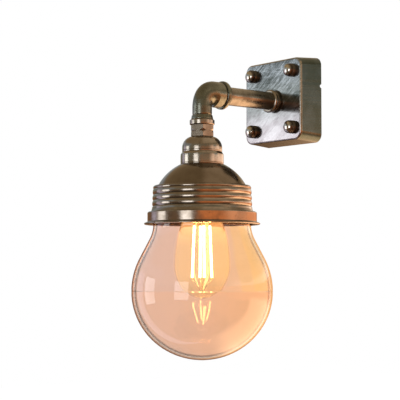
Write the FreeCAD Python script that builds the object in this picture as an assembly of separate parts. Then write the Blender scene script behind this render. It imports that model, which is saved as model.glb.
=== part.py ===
"""Industrial pipe wall light: a cast box on the wall, a short pipe arm, an elbow, a ribbed
gallery and a screw-in glass globe round a screw-in filament bulb.

Millimetres. The origin is on the wall, at the middle of the box. +Z is up, +Y points into the
wall, so the light stands out towards -Y. The lamp hangs on the drop axis, parallel to Z.
"""
import FreeCAD, Part
import math
import os

V = FreeCAD.Vector

# ---- driving dimensions ----------------------------------------------------------------------
# Fits
SEAT = 0.05                 # radial clearance of pieces that are screwed or pushed together
RUN = 0.3                   # gap between pieces that move on each other
PAST = 1.0                  # how far a cutting form runs past the face it opens

# Wall box, open towards the wall
PLATE_FRONT = 97.0          # side of the square front face
PLATE_DEPTH = 32.0
PLATE_DRAFT = 4.0           # degrees that each side leans out towards the wall
PLATE_CORNER_R = 10.0
PLATE_EDGE_R = 2.2
PLATE_WALL = 4.0
NOTCH_R = 2.2               # small notch in the right side, at the wall
NOTCH_Z = 15.7

# Bracket on the wall, inside the back of the box, with two holes for wall screws
BRACKET_T = 3.0
BRACKET_GAP = 1.0
BRACKET_HOLE_R = 22.0
WALL_HOLE_R = 2.6
WALL_HOLE_SPACING = 67.5

# Four domed screws through the box into the bracket
SCREW_SPACING = 67.5
SCREW_SHANK_R = 2.5
SCREW_HEAD_R = 4.6
SCREW_HEAD_H = 2.4
SCREW_HOLE_GAP = 0.25
SCREW_SHORT = 0.5           # the screw's tip stays this far inside the bracket, with a chamfer
POST_R = 7.0
WASHER_R = 7.8
WASHER_H = 4.5
WASHER_ROUND = 0.9
DOME_R = 7.6
DOME_H = 5.2
DOME_RIM = 0.8
DOME_SPIGOT_R = 1.4
DOME_SPIGOT_H = 1.6

# Arm
PIPE_R = 10.65
PIPE_BORE = 8.0
ARM_REACH = 109.2           # from the front of the box to the drop axis
PIPE_IN_ELBOW = 15.5
PIPE_TAIL = 1.5             # what stands out behind the back nut
BACKNUT_H = 5.0
BACKNUT_AF = 30.0
BACKNUT_CHAMFER = 1.2
COLLAR_BEAD_R = PIPE_R + 3.25
COLLAR_BEAD_W = 4.6
COLLAR_NECK_R = PIPE_R + 1.55
COLLAR_NECK_W = 2.4

# Elbow
ELBOW_BEND_R = 15.5
ELBOW_SECTIONS = 6          # circles that the bend's form is drawn through, less one
ELBOW_ARM_R = 15.0
ELBOW_LEG_R = 11.3
ELBOW_BORE = 5.5
ELBOW_RING_R = 16.6
ELBOW_RING_W = 5.5
ELBOW_REACH = 32.3          # drop axis to the end of the ring
RIM_TOP = 25.4              # below the arm's axis
RIM_H = 4.9
RIM_R_TOP = 11.9
RIM_R_END = 12.7
RIM_GROOVE = 0.7

# Drop: collar, two locknuts and the hollow nipple through them
NIPPLE_R = 6.5
NIPPLE_BORE = 5.0
NIPPLE_IN_ELBOW = 12.5
DROP_COLLAR_R = 14.3
DROP_COLLAR_H = 6.9
DROP_COLLAR_ROUND = 1.5
LOCKNUT_AF = 24.8
LOCKNUT_H = 6.5
LOCKNUT_CHAMFER = 1.5
LOCKNUT_TURN = -35.5        # degrees from +X to a corner

# Lampholder: its insulator, and the cap and ring that close round it
HOLDER_R = 20.0
CAP_R = HOLDER_R + 2.9
CAP_TOP_R = 12.8
CAP_H = 17.7
CAP_WALL = 2.0
CAP_NUT_AF = 19.0
CAP_NUT_H = 3.5
CAP_NUT_CHAMFER = 0.8
RING_R = HOLDER_R + 4.7
RING_H = 14.1
RING_CHAMFER_R = 1.6
RING_CHAMFER_H = 3.0
HOLDER_TOP = 4.1            # how far the insulator's top lies below the ring's top
HOLDER_FLOOR = 18.5
HOLDER_LIP = 2.0            # insulator below the end of the bulb's cap
SHELL_R = 14.2
SHELL_WALL = 0.6
STRIP_T = 0.6
STRIP_W = 5.0
STRIP_CLEAR = 0.3           # strip's fixed end to the shell
CONTACT_PITCH = 10.0        # drop axis to each terminal
TERMINAL_SIDE = 6.0
TERMINAL_H = 6.0
TERMINAL_SCREW_OUT = 1.2
RIVET_R = 1.2
RIVET_HEAD_R = 1.8
RIVET_HEAD_H = 0.5
SHADE_RING_R = HOLDER_R + 3.4
SHADE_RING_H = 5.0

# Gallery: dome and ribbed collar in one casting
DOME_TOP_R = RING_R
DOME_SPHERE_R = 57.0
DOME_SPHERE_DROP = 26.8     # sphere's centre below the dome's base
GALLERY_WALL = 2.6
TOP_BEAD_R = 55.9           # rounded bead between the dome and the ribs
TOP_BEAD_H = 3.8
TOP_BEAD_ROUND = 2.4
TOP_BEAD_GROOVE = 0.4
RIB_CREST_R = 56.4          # of the uppermost rib
RIB_GROW = 0.3              # each rib's crest is this much wider than the one above
RIB_DEPTH = 0.9
RIB_PITCH = 6.6
RIB_CREST_DROP = 4.1        # a rib is widest this far below its upper groove
RIB_COUNT = 3
FLARE_H = 6.3
FLARE_R = 58.4
BAND_R = 62.3
BAND_H = 11.4
BAND_EDGE = 1.6
LIP_R = 66.1
LIP_H = 3.0
LIP_EDGE = 0.9
GALLERY_BORE = 54.0
BAND_BORE = 58.4
BAND_STEP = 2.4             # band's inner step below its outer top edge

# Globe
GLOBE_R = 80.3
GLOBE_DEPTH = 77.7          # equator to the bottom
GLOBE_SHOULDER = 27.5       # degrees from vertical of the straight part above the equator
GLOBE_NECK_R = 55.6
GLOBE_NECK_BLEND = 37.0
GLOBE_WALL = 3.2
GLOBE_IN_LIP = 0.5          # the neck turns upright this far inside the lip
GLOBE_RIM_ROUND = 2.0
THREAD_NECK_R = GALLERY_BORE - 3.0
THREAD_NECK_H = 18.0
THROAT_RISE = 4.6           # height of the cone inside, between the globe and its threaded neck
THREAD_LEAD = 8.0
THREAD_TURNS = 1.5
THREAD_DEPTH = 2.3
THREAD_W = 2.4
THREAD_SIDE_GAP = 0.4       # between the two threads, along the drop axis
THREAD_ROOT = 0.4           # how far a thread's foot is sunk into its wall
GASKET_T = 2.0

# Bulb
BULB_R = 32.0
BULB_LENGTH = 142.0
BULB_TIP_H = 38.0           # bottom to the widest place
BULB_SIDE_R = 138.8
BULB_SHOULDER = 22.5        # degrees from vertical of its upper cone
BULB_WALL = 1.0
BULB_TOP = 93.3             # contact below the arm's axis
BULB_CAP_R = 13.1
BULB_CAP_H = 24.8
BULB_CAP_PITCH = 3.63
BULB_CAP_TURNS = 5
BULB_CAP_DEPTH = 0.6
BULB_CAP_WALL = 0.4
BULB_CAP_TAPER = 2.5
BULB_NECK_R = 11.9
BULB_NECK_IN_CAP = 3.0
BULB_CONTACT_R = 4.8
BULB_CONTACT_H = 0.9
BULB_CONTACT_CHAMFER = 1.5
BULB_CONTACT_GAP = 0.02
BULB_INSULATOR_R = 9.0
BULB_INSULATOR_H = 1.3
STEM_R = 3.6
STEM_H = 26.0
STEM_IN_CAP = 2.0
STEM_FOOT = 4.0
FILAMENT_COUNT = 4
FILAMENT_R = 1.0
FILAMENT_TOP_RING = 9.0
FILAMENT_END_RING = 11.5
FILAMENT_H = 62.0
FILAMENT_END = 22.5         # lower ends above the bulb's bottom
FILAMENT_TURN = -27.0       # degrees from +X to the first one
LEAD_R = 0.4
LEAD_MEET = 9.5             # where the leads meet, above the bulb's bottom

# Wiring
WIRE_R = 1.2
PAIR_SPREAD = 1.5           # live and neutral each side of the middle of the pipe
EARTH_RISE = 2.2
WIRE_ABOVE = 1.5            # a wire turns into its terminal this far above it
WIRE_SHORT = 1.2            # and ends this far above the terminal's foot
BEND_AT_BOX = 9.5
BEND_AT_ELBOW = 14.0
BEND_AT_HOLDER = 4.5
BLOCK_X = 22.0
BLOCK_Y = 17.0
BLOCK_Z = 14.0
BLOCK_PAD = 3.0
BLOCK_TOP = 24.0            # below the arm's axis
WAY_PITCH = 12.0
WAY_FROM_BACK = 6.0
WAY_R = 2.9
WAY_BORE = 1.5
WAY_SCREW_R = 1.5
WAY_SCREW_INSET = 3.5
WAY_INSET = 1.0             # inserts and screws stay this far inside the block
BLOCK_SCREW_R = 1.6
BLOCK_SCREW_HEAD_R = 2.8
BLOCK_SCREW_HEAD_H = 2.0
BLOCK_RECESS = 5.6
EARTH_Z = 30.0
EARTH_POST_R = 4.5
EARTH_POST_H = 12.0
EARTH_SCREW_R = 2.0
EARTH_HEAD_R = 3.6
EARTH_HEAD_H = 2.4
EARTH_HEAD_EDGE = 1.0
TAG_T = 0.8
TAG_R = 4.0
TAG_BARREL_R = 1.9
TAG_BARREL_END = 23.0

# ---- places worked out from them -------------------------------------------------------------
FRONT_Y = -PLATE_DEPTH
DROP_Y = FRONT_Y - ARM_REACH
INNER_FRONT_Y = FRONT_Y + PLATE_WALL
PIPE_END_Y = INNER_FRONT_Y + BACKNUT_H + PIPE_TAIL
ELBOW_END_Y = DROP_Y + ELBOW_REACH
WASHER_TOP_Y = FRONT_Y - WASHER_H
FIXINGS = [(x * SCREW_SPACING / 2, z * SCREW_SPACING / 2) for x in (-1, 1) for z in (-1, 1)]

ELBOW_BOTTOM = -(RIM_TOP + RIM_H)
UPPER_NUT_TOP = ELBOW_BOTTOM - DROP_COLLAR_H
LOWER_NUT_TOP = UPPER_NUT_TOP - LOCKNUT_H
CAP_TOP = LOWER_NUT_TOP - LOCKNUT_H
RING_TOP = CAP_TOP - CAP_H
DOME_TOP = RING_TOP - RING_H
NIPPLE_END = CAP_TOP - CAP_WALL - CAP_NUT_H
HOLDER_TOP_Z = RING_TOP - HOLDER_TOP
FLOOR_Z = HOLDER_TOP_Z - HOLDER_FLOOR
SPHERE_OVER_TOP = math.sqrt(DOME_SPHERE_R ** 2 - DOME_TOP_R ** 2)
SPHERE_Z = DOME_TOP - SPHERE_OVER_TOP
DOME_BASE = SPHERE_Z + DOME_SPHERE_DROP
RIBS_END = DOME_BASE - TOP_BEAD_H - RIB_COUNT * RIB_PITCH
BAND_TOP = RIBS_END - FLARE_H
LIP_TOP = BAND_TOP - BAND_H
GALLERY_END = LIP_TOP - LIP_H
STEP_Z = BAND_TOP - BAND_STEP
GLASS_SHOULDER_Z = STEP_Z - RUN - GASKET_T - RUN
GLASS_RIM_Z = GLASS_SHOULDER_Z + THREAD_NECK_H
THREAD_BOTTOM = STEP_Z + RUN + THREAD_W / 2

BULB_END = -(BULB_TOP + BULB_LENGTH)
BULB_WIDEST = BULB_END + BULB_TIP_H
BULB_SHELL_TOP = -(BULB_TOP + BULB_CONTACT_H + BULB_INSULATOR_H)
BULB_CAP_END = BULB_SHELL_TOP - BULB_CAP_H
FILAMENT_END_Z = BULB_END + FILAMENT_END
FILAMENT_TOP_Z = FILAMENT_END_Z + FILAMENT_H
LEAD_MEET_Z = BULB_END + LEAD_MEET
STEM_END = BULB_CAP_END + STEM_IN_CAP - STEM_H
SKIRT_END = BULB_CAP_END - HOLDER_LIP

WAY_Y = INNER_FRONT_Y + BLOCK_PAD + BLOCK_Y - WAY_FROM_BACK
BLOCK_BACK_Y = INNER_FRONT_Y + BLOCK_PAD + BLOCK_Y
BLOCK_RECESS_Y = BLOCK_BACK_Y - BLOCK_RECESS
EARTH_TAG_Y = INNER_FRONT_Y + EARTH_POST_H
DRAFT_SLOPE = math.tan(math.radians(PLATE_DRAFT))
CAVITY_HALF = PLATE_FRONT / 2 + PLATE_WALL * DRAFT_SLOPE - PLATE_WALL


# ---- drawing helpers -------------------------------------------------------------------------
def on_circle(centre, radius, degrees):
    """A point of a circle drawn in the half plane of an outline."""
    turn = math.radians(degrees)
    return (centre[0] + radius * math.cos(turn), centre[1] + radius * math.sin(turn))


def outline(start, *steps):
    """Face in the half plane (radius, along). A step of 2 numbers is a line's end; a step of
    4 is an arc's middle and end."""
    edges = []
    here = V(start[0], 0, start[1])
    for step in steps + (start,):
        there = V(step[-2], 0, step[-1])
        if there.distanceToPoint(here) < 1e-7:
            continue
        if len(step) == 4:
            edges.append(Part.Arc(here, V(step[0], 0, step[1]), there).toShape())
        else:
            edges.append(Part.LineSegment(here, there).toShape())
        here = there
    return Part.Face(Part.Wire(edges))


def lower_bowl(across, depth, z):
    """The half ellipsoid that hangs below z, solid."""
    side = V(across, 0, z)
    bottom = V(0, 0, z - depth)
    middle = V(0, 0, z)
    if across > depth:
        ellipse = Part.Ellipse(side, bottom, middle)
    else:
        ellipse = Part.Ellipse(bottom, side, middle)
    curve = Part.ArcOfEllipse(ellipse, 0, math.pi / 2).toShape()
    face = Part.Face(Part.Wire([curve, Part.LineSegment(bottom, middle).toShape(),
                                Part.LineSegment(middle, side).toShape()]))
    return turned_on_drop(face)


def turned_on_drop(face):
    """Turn an outline about the drop axis."""
    solid = face.revolve(V(0, 0, 0), V(0, 0, 1), 360)
    solid.translate(V(0, DROP_Y, 0))
    return solid


def turned_on_y(face, x=0.0, z=0.0):
    """Turn an outline about an axis along Y; its second number is the place in Y."""
    solid = face.revolve(V(0, 0, 0), V(0, 0, 1), 360)
    solid.rotate(V(0, 0, 0), V(1, 0, 0), -90)
    solid.translate(V(x, 0, z))
    return solid


def ring(outer, inner, low, high):
    return outline((inner, low), (outer, low), (outer, high), (inner, high))


def rod_down(radius, x, y, top, bottom):
    return Part.makeCylinder(radius, top - bottom, V(x, y, bottom))


def rod_along_y(radius, x, z, low, high):
    return Part.makeCylinder(radius, high - low, V(x, low, z), V(0, 1, 0))


def block(x, y, z):
    """A box between three pairs of limits."""
    return Part.makeBox(x[1] - x[0], y[1] - y[0], z[1] - z[0], V(x[0], y[0], z[0]))


def bar(start, end, radius):
    along = end - start
    return Part.makeCylinder(radius, along.Length, start, along)


def hexagon(across_flats, height, bore, chamfer):
    """A nut on Z, from 0 up, with both faces chamfered down to the flats."""
    corner_r = across_flats / math.sqrt(3)
    corners = [V(*on_circle((0, 0), corner_r, 60 * k), 0) for k in range(7)]
    prism = Part.Face(Part.makePolygon(corners)).extrude(V(0, 0, height))
    face_r = across_flats / 2
    reach = corner_r + chamfer
    slope = chamfer * (reach - face_r) / (corner_r - face_r)
    envelope = outline((bore, 0), (face_r, 0), (reach, slope), (reach, height - slope),
                       (face_r, height), (bore, height))
    return prism.common(envelope.revolve(V(0, 0, 0), V(0, 0, 1), 360))


def joined_run(points, bends):
    """A wire path of straight runs with a tangent arc at each inner point."""
    edges = []
    here = points[0]
    for before, corner, after, bend in zip(points, points[1:], points[2:], bends):
        back = (before - corner).normalize()
        ahead = (after - corner).normalize()
        half = back.getAngle(ahead) / 2
        start = corner + back * (bend / math.tan(half))
        end = corner + ahead * (bend / math.tan(half))
        middle = corner + (back + ahead).normalize() * (bend / math.sin(half) - bend)
        edges.append(Part.LineSegment(here, start).toShape())
        edges.append(Part.Arc(start, middle, end).toShape())
        here = end
    edges.append(Part.LineSegment(here, points[-1]).toShape())
    return Part.Wire(edges)


def wire(name, points, bends):
    """A round insulated wire along a path; prints its length and bend radii."""
    path = joined_run(points, bends)
    along = (points[1] - points[0]).normalize()
    section = Part.Wire(Part.makeCircle(WIRE_R, points[0], along))
    solid = path.makePipeShell([section], True, False)
    expected = math.pi * WIRE_R ** 2 * path.Length
    print(f"{name}: {path.Length:.1f} mm long, bends {bends} mm, "
          f"volume {solid.Volume:.2f} of {expected:.2f} mm3")
    return solid


# ---- wall box and its fixings ----------------------------------------------------------------
def rounded_square(half, corner, y):
    """A closed square of lines and arcs in the plane at y."""
    edges = []
    inner = half - corner
    for k in range(4):
        turn = FreeCAD.Rotation(V(0, 1, 0), -90 * k)
        side_start = turn.multVec(V(half, y, -inner))
        side_end = turn.multVec(V(half, y, inner))
        bulge = inner + corner * math.cos(math.pi / 4)
        arc_middle = turn.multVec(V(bulge, y, bulge))
        arc_end = turn.multVec(V(inner, y, half))
        edges.append(Part.LineSegment(side_start, side_end).toShape())
        edges.append(Part.Arc(side_end, arc_middle, arc_end).toShape())
    return Part.Wire(edges)


def tapered_box(front_half, corner, front_y):
    """The box's form from front_y to the wall, widening by the draft."""
    grow = -front_y * DRAFT_SLOPE
    front = rounded_square(front_half, corner, front_y)
    back = rounded_square(front_half + grow, corner, 0)
    return Part.makeLoft([back, front], True, True)


def wall_plate():
    body = tapered_box(PLATE_FRONT / 2, PLATE_CORNER_R, FRONT_Y)
    front_edges = [e for e in body.Edges if e.BoundBox.YMax < FRONT_Y + 0.01]
    body = body.makeFillet(PLATE_EDGE_R, front_edges)
    body = body.cut(tapered_box(CAVITY_HALF, PLATE_CORNER_R - PLATE_WALL, INNER_FRONT_Y))
    for x, z in FIXINGS:
        body = body.fuse(rod_along_y(POST_R, x, z, INNER_FRONT_Y - PAST, -BRACKET_T))
    body = body.fuse(rod_along_y(EARTH_POST_R, 0, EARTH_Z, INNER_FRONT_Y - PAST, EARTH_TAG_Y))
    pad_y = (INNER_FRONT_Y - PAST, INNER_FRONT_Y + BLOCK_PAD)
    body = body.fuse(block((-BLOCK_X / 2, BLOCK_X / 2), pad_y, (-BLOCK_TOP - BLOCK_Z, -BLOCK_TOP)))
    for x, z in FIXINGS:
        body = body.cut(rod_along_y(SCREW_SHANK_R + SCREW_HOLE_GAP, x, z, FRONT_Y - PAST, PAST))
    body = body.cut(rod_along_y(PIPE_R + SEAT, 0, 0, FRONT_Y - PAST, INNER_FRONT_Y + PAST))
    earth_bore = EARTH_SCREW_R + SEAT
    body = body.cut(rod_along_y(earth_bore, 0, EARTH_Z, INNER_FRONT_Y, EARTH_TAG_Y + PAST))
    block_mid_z = -BLOCK_TOP - BLOCK_Z / 2
    body = body.cut(rod_along_y(BLOCK_SCREW_R + SEAT, 0, block_mid_z, INNER_FRONT_Y, 0))
    notch_x = PLATE_FRONT / 2
    notch_start = V(notch_x - PLATE_WALL, 0, NOTCH_Z)
    notch = Part.makeCylinder(NOTCH_R, 2 * PLATE_WALL, notch_start, V(1, 0, 0))
    return body.cut(notch).removeSplitter()


def wall_bracket():
    """Flat plate inside the back of the box: the wall screws hold it, and it holds the box."""
    half = CAVITY_HALF + (-INNER_FRONT_Y - BRACKET_T) * DRAFT_SLOPE - BRACKET_GAP
    plate = Part.Face(rounded_square(half, PLATE_CORNER_R - PLATE_WALL, -BRACKET_T))
    plate = plate.extrude(V(0, BRACKET_T, 0))
    plate = plate.cut(rod_along_y(BRACKET_HOLE_R, 0, 0, -BRACKET_T - PAST, PAST))
    for x, z in FIXINGS:
        plate = plate.cut(rod_along_y(SCREW_SHANK_R + SEAT, x, z, -BRACKET_T - PAST, PAST))
    for side in (-1, 1):
        x = side * WALL_HOLE_SPACING / 2
        plate = plate.cut(rod_along_y(WALL_HOLE_R, x, 0, -BRACKET_T - PAST, PAST))
    return plate


def box_screws():
    """Long countersunk screws from the front of the box into the bracket."""
    pieces = []
    head_end = WASHER_TOP_Y + SCREW_HEAD_H
    socket_r = DOME_SPIGOT_R + SEAT
    socket_end = WASHER_TOP_Y + DOME_SPIGOT_H + SEAT
    face = outline((socket_r, WASHER_TOP_Y), (SCREW_HEAD_R, WASHER_TOP_Y), (SCREW_SHANK_R, head_end),
                   (SCREW_SHANK_R, -2 * SCREW_SHORT), (SCREW_SHANK_R - SCREW_SHORT, -SCREW_SHORT),
                   (0, -SCREW_SHORT), (0, socket_end),
                   (socket_r, socket_end))
    for x, z in FIXINGS:
        pieces.append(turned_on_y(face, x, z))
    return Part.makeCompound(pieces)


def screw_washers():
    """Deep round washers under the screw heads."""
    pieces = []
    head_end = WASHER_TOP_Y + SCREW_HEAD_H
    hole = SCREW_SHANK_R + SEAT
    edge_mid = on_circle((WASHER_R - WASHER_ROUND, WASHER_TOP_Y + WASHER_ROUND), WASHER_ROUND, -45)
    face = outline((hole, head_end), (hole, FRONT_Y), (WASHER_R, FRONT_Y),
                   (WASHER_R, WASHER_TOP_Y + WASHER_ROUND),
                   (*edge_mid, WASHER_R - WASHER_ROUND, WASHER_TOP_Y),
                   (SCREW_HEAD_R + SEAT, WASHER_TOP_Y))
    for x, z in FIXINGS:
        pieces.append(turned_on_y(face, x, z))
    return Part.makeCompound(pieces)


def screw_caps():
    """Domed caps that hide the screw heads, each with a spigot in the head."""
    pieces = []
    rim_top = WASHER_TOP_Y - DOME_RIM
    under_r = WASHER_R - WASHER_ROUND
    sphere_r = (DOME_R ** 2 + DOME_H ** 2) / (2 * DOME_H)
    centre = (0, rim_top - DOME_H + sphere_r)
    rim_angle = math.degrees(math.atan2(rim_top - centre[1], DOME_R))
    bulge = on_circle(centre, sphere_r, (rim_angle - 90) / 2)
    face = outline((0, WASHER_TOP_Y + DOME_SPIGOT_H), (DOME_SPIGOT_R, WASHER_TOP_Y + DOME_SPIGOT_H),
                   (DOME_SPIGOT_R, WASHER_TOP_Y), (under_r, WASHER_TOP_Y), (DOME_R, rim_top),
                   (*bulge, 0, rim_top - DOME_H))
    for x, z in FIXINGS:
        pieces.append(turned_on_y(face, x, z))
    return Part.makeCompound(pieces)


# ---- arm -------------------------------------------------------------------------------------
def arm_collar():
    """Beaded collar on the pipe, clamped against the front of the box."""
    bore = PIPE_R + SEAT
    neck_end = FRONT_Y - COLLAR_NECK_W
    bead_mid = neck_end - COLLAR_BEAD_W / 2
    bead_end = neck_end - COLLAR_BEAD_W
    return turned_on_y(outline((bore, FRONT_Y), (COLLAR_NECK_R, FRONT_Y), (COLLAR_NECK_R, neck_end),
                               (COLLAR_BEAD_R, bead_mid, COLLAR_NECK_R, bead_end), (bore, bead_end)))


def arm_backnut():
    nut = hexagon(BACKNUT_AF, BACKNUT_H, PIPE_R + SEAT, BACKNUT_CHAMFER)
    nut.rotate(V(0, 0, 0), V(1, 0, 0), -90)
    nut.translate(V(0, INNER_FRONT_Y, 0))
    return nut


def arm_pipe():
    far_end = ELBOW_END_Y - PIPE_IN_ELBOW
    return turned_on_y(ring(PIPE_R, PIPE_BORE, far_end, PIPE_END_Y))


def elbow_section(turn, radius):
    """A circle across the bend: turn 0 faces the arm, 90 faces down."""
    pivot = V(0, DROP_Y + ELBOW_BEND_R, -ELBOW_BEND_R)
    angle = math.radians(turn)
    place = pivot + V(0, -math.sin(angle), math.cos(angle)) * ELBOW_BEND_R
    return Part.Wire(Part.makeCircle(radius, place, V(0, math.cos(angle), math.sin(angle))))


def elbow():
    """Cast elbow: wide and beaded where it takes the pipe, slim where it takes the nipple."""
    sections = []
    for k in range(ELBOW_SECTIONS + 1):
        share = k / ELBOW_SECTIONS
        ease = (1 - math.cos(math.pi * share)) / 2
        radius = ELBOW_ARM_R + (ELBOW_LEG_R - ELBOW_ARM_R) * ease
        sections.append(elbow_section(90 * share, radius))
    bend = Part.makeLoft(sections, True, False)
    ring_start = ELBOW_END_Y - ELBOW_RING_W
    arm_start = DROP_Y + ELBOW_BEND_R
    ring_mid = ELBOW_END_Y - ELBOW_RING_W / 2
    mouth = turned_on_y(outline((0, arm_start), (ELBOW_ARM_R, arm_start),
                                (ELBOW_ARM_R, ring_start - RIM_GROOVE),
                                (ELBOW_ARM_R - RIM_GROOVE, ring_start),
                                (ELBOW_ARM_R + RIM_GROOVE, ring_start),
                                (ELBOW_RING_R, ring_mid, ELBOW_ARM_R + RIM_GROOVE, ELBOW_END_Y),
                                (0, ELBOW_END_Y)))
    leg = turned_on_drop(outline((0, ELBOW_BOTTOM), (RIM_R_END, ELBOW_BOTTOM),
                                 (RIM_R_END, ELBOW_BOTTOM + RIM_GROOVE),
                                 (RIM_R_TOP, -RIM_TOP - RIM_GROOVE),
                                 (ELBOW_LEG_R - RIM_GROOVE, -RIM_TOP),
                                 (ELBOW_LEG_R, -RIM_TOP + RIM_GROOVE),
                                 (ELBOW_LEG_R, -ELBOW_BEND_R), (0, -ELBOW_BEND_R)))
    body = bend.fuse([mouth, leg])
    pivot = V(0, DROP_Y + ELBOW_BEND_R, -ELBOW_BEND_R)
    bore = Part.Face(elbow_section(0, ELBOW_BORE)).revolve(pivot, V(1, 0, 0), 90)
    pipe_seat = ELBOW_END_Y - PIPE_IN_ELBOW
    socket_top = ELBOW_BOTTOM + NIPPLE_IN_ELBOW
    channel = bore.fuse([rod_along_y(ELBOW_BORE, 0, 0, arm_start, pipe_seat + PAST),
                         rod_along_y(PIPE_R + SEAT, 0, 0, pipe_seat, ELBOW_END_Y + PAST),
                         rod_down(ELBOW_BORE, 0, DROP_Y, -ELBOW_BEND_R, socket_top - PAST),
                         rod_down(NIPPLE_R + SEAT, 0, DROP_Y, socket_top, ELBOW_BOTTOM - PAST)])
    return body.cut(channel)


# ---- drop ------------------------------------------------------------------------------------
def drop_collar():
    """Rounded ring under the elbow."""
    bore = NIPPLE_R + SEAT
    top = ELBOW_BOTTOM
    bottom = UPPER_NUT_TOP
    flat = DROP_COLLAR_R - DROP_COLLAR_ROUND
    low = (flat, bottom + DROP_COLLAR_ROUND)
    high = (flat, top - DROP_COLLAR_ROUND)
    return turned_on_drop(outline(
        (bore, bottom), (flat, bottom),
        (*on_circle(low, DROP_COLLAR_ROUND, -45), DROP_COLLAR_R, low[1]), (DROP_COLLAR_R, high[1]),
        (*on_circle(high, DROP_COLLAR_ROUND, 45), flat, top), (bore, top)))


def locknut(top):
    nut = hexagon(LOCKNUT_AF, LOCKNUT_H, NIPPLE_R + SEAT, LOCKNUT_CHAMFER)
    nut.rotate(V(0, 0, 0), V(0, 0, 1), LOCKNUT_TURN)
    nut.translate(V(0, DROP_Y, top - LOCKNUT_H))
    return nut


def upper_locknut():
    return locknut(UPPER_NUT_TOP)


def lower_locknut():
    return locknut(LOWER_NUT_TOP)


def drop_nipple():
    top = ELBOW_BOTTOM + NIPPLE_IN_ELBOW
    return turned_on_drop(ring(NIPPLE_R, NIPPLE_BORE, NIPPLE_END, top))


# ---- lampholder ------------------------------------------------------------------------------
def holder_cap():
    """Domed metal cap over the terminals."""
    bore = NIPPLE_R + SEAT
    round_r = CAP_R - CAP_TOP_R
    centre = (CAP_TOP_R, CAP_TOP - round_r)
    outer_mid = on_circle(centre, round_r, 45)
    inner_mid = on_circle(centre, round_r - CAP_WALL, 45)
    inner_r = CAP_R - CAP_WALL
    return turned_on_drop(outline((bore, CAP_TOP), (bore, CAP_TOP - CAP_WALL),
                                  (CAP_TOP_R, CAP_TOP - CAP_WALL), (*inner_mid, inner_r, centre[1]),
                                  (inner_r, RING_TOP), (CAP_R, RING_TOP), (CAP_R, centre[1]),
                                  (*outer_mid, CAP_TOP_R, CAP_TOP)))


def cap_locknut():
    nut = hexagon(CAP_NUT_AF, CAP_NUT_H, NIPPLE_R + SEAT, CAP_NUT_CHAMFER)
    nut.translate(V(0, DROP_Y, CAP_TOP - CAP_WALL - CAP_NUT_H))
    return nut


def holder_ring():
    """Threaded metal ring that draws the cap, the insulator and the gallery together."""
    bore = HOLDER_R + SEAT
    return turned_on_drop(outline((bore, DOME_TOP), (RING_R, DOME_TOP),
                                  (RING_R, RING_TOP - RING_CHAMFER_H),
                                  (RING_R - RING_CHAMFER_R, RING_TOP), (bore, RING_TOP)))


def holder_body():
    """Porcelain insulator with the pocket for the screw shell, the rivet holes and terminals."""
    pocket = SHELL_R + SEAT
    body = turned_on_drop(outline((0, FLOOR_Z), (pocket, FLOOR_Z), (pocket, SKIRT_END),
                                  (HOLDER_R, SKIRT_END), (HOLDER_R, HOLDER_TOP_Z), (0, HOLDER_TOP_Z)))
    for x in (-CONTACT_PITCH, CONTACT_PITCH):
        body = body.cut(rod_down(RIVET_R + SEAT, x, DROP_Y, HOLDER_TOP_Z + PAST, FLOOR_Z - PAST))
    return body


def rivet_hole(x):
    """Cutting form for a rivet through a strip or tab under the floor."""
    return rod_down(RIVET_R + SEAT, x, DROP_Y, FLOOR_Z + PAST, FLOOR_Z - STRIP_T - PAST)


def socket_shell():
    """Brass screw shell with the tab that its rivet holds."""
    inner = SHELL_R - SHELL_WALL
    sleeve = turned_on_drop(ring(SHELL_R, inner, BULB_CAP_END, FLOOR_Z))
    tab_x = (CONTACT_PITCH - STRIP_W / 2, SHELL_R - SHELL_WALL / 2)
    tab_y = (DROP_Y - STRIP_W / 2, DROP_Y + STRIP_W / 2)
    tab = block(tab_x, tab_y, (FLOOR_Z - STRIP_T, FLOOR_Z))
    hole = rivet_hole(CONTACT_PITCH)
    return sleeve.fuse(tab).cut(hole)


def centre_contact():
    """Springy strip from the live rivet to the tip of the bulb."""
    touch = -BULB_TOP + RUN
    half = STRIP_W / 2
    fixed_x = -CONTACT_PITCH - half + STRIP_CLEAR
    bend_x = -CONTACT_PITCH + half + STRIP_T
    level = FLOOR_Z - STRIP_T
    low_edge = [(fixed_x, level), (bend_x, level), (-half, touch), (half, touch)]
    high_edge = [(x, z + STRIP_T) for x, z in reversed(low_edge)]
    corners = [V(x, DROP_Y - half, z) for x, z in low_edge + high_edge + low_edge[:1]]
    strip = Part.Face(Part.makePolygon(corners)).extrude(V(0, STRIP_W, 0))
    hole = rivet_hole(-CONTACT_PITCH)
    return strip.cut(hole)


def holder_rivets():
    """Rivets from the terminals through the floor to the strip and the shell's tab."""
    pieces = []
    for x in (-CONTACT_PITCH, CONTACT_PITCH):
        under = FLOOR_Z - STRIP_T
        shank = rod_down(RIVET_R, x, DROP_Y, HOLDER_TOP_Z, under - RIVET_HEAD_H)
        head = rod_down(RIVET_HEAD_R, x, DROP_Y, under, under - RIVET_HEAD_H)
        pieces.append(shank.fuse(head))
    return Part.makeCompound(pieces)


def terminal_places():
    """Live, neutral and earth, with the side from which each screw goes in."""
    return [(-CONTACT_PITCH, DROP_Y, V(-1, 0, 0)), (CONTACT_PITCH, DROP_Y, V(1, 0, 0)),
            (0, DROP_Y - CONTACT_PITCH, V(0, -1, 0))]


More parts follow.
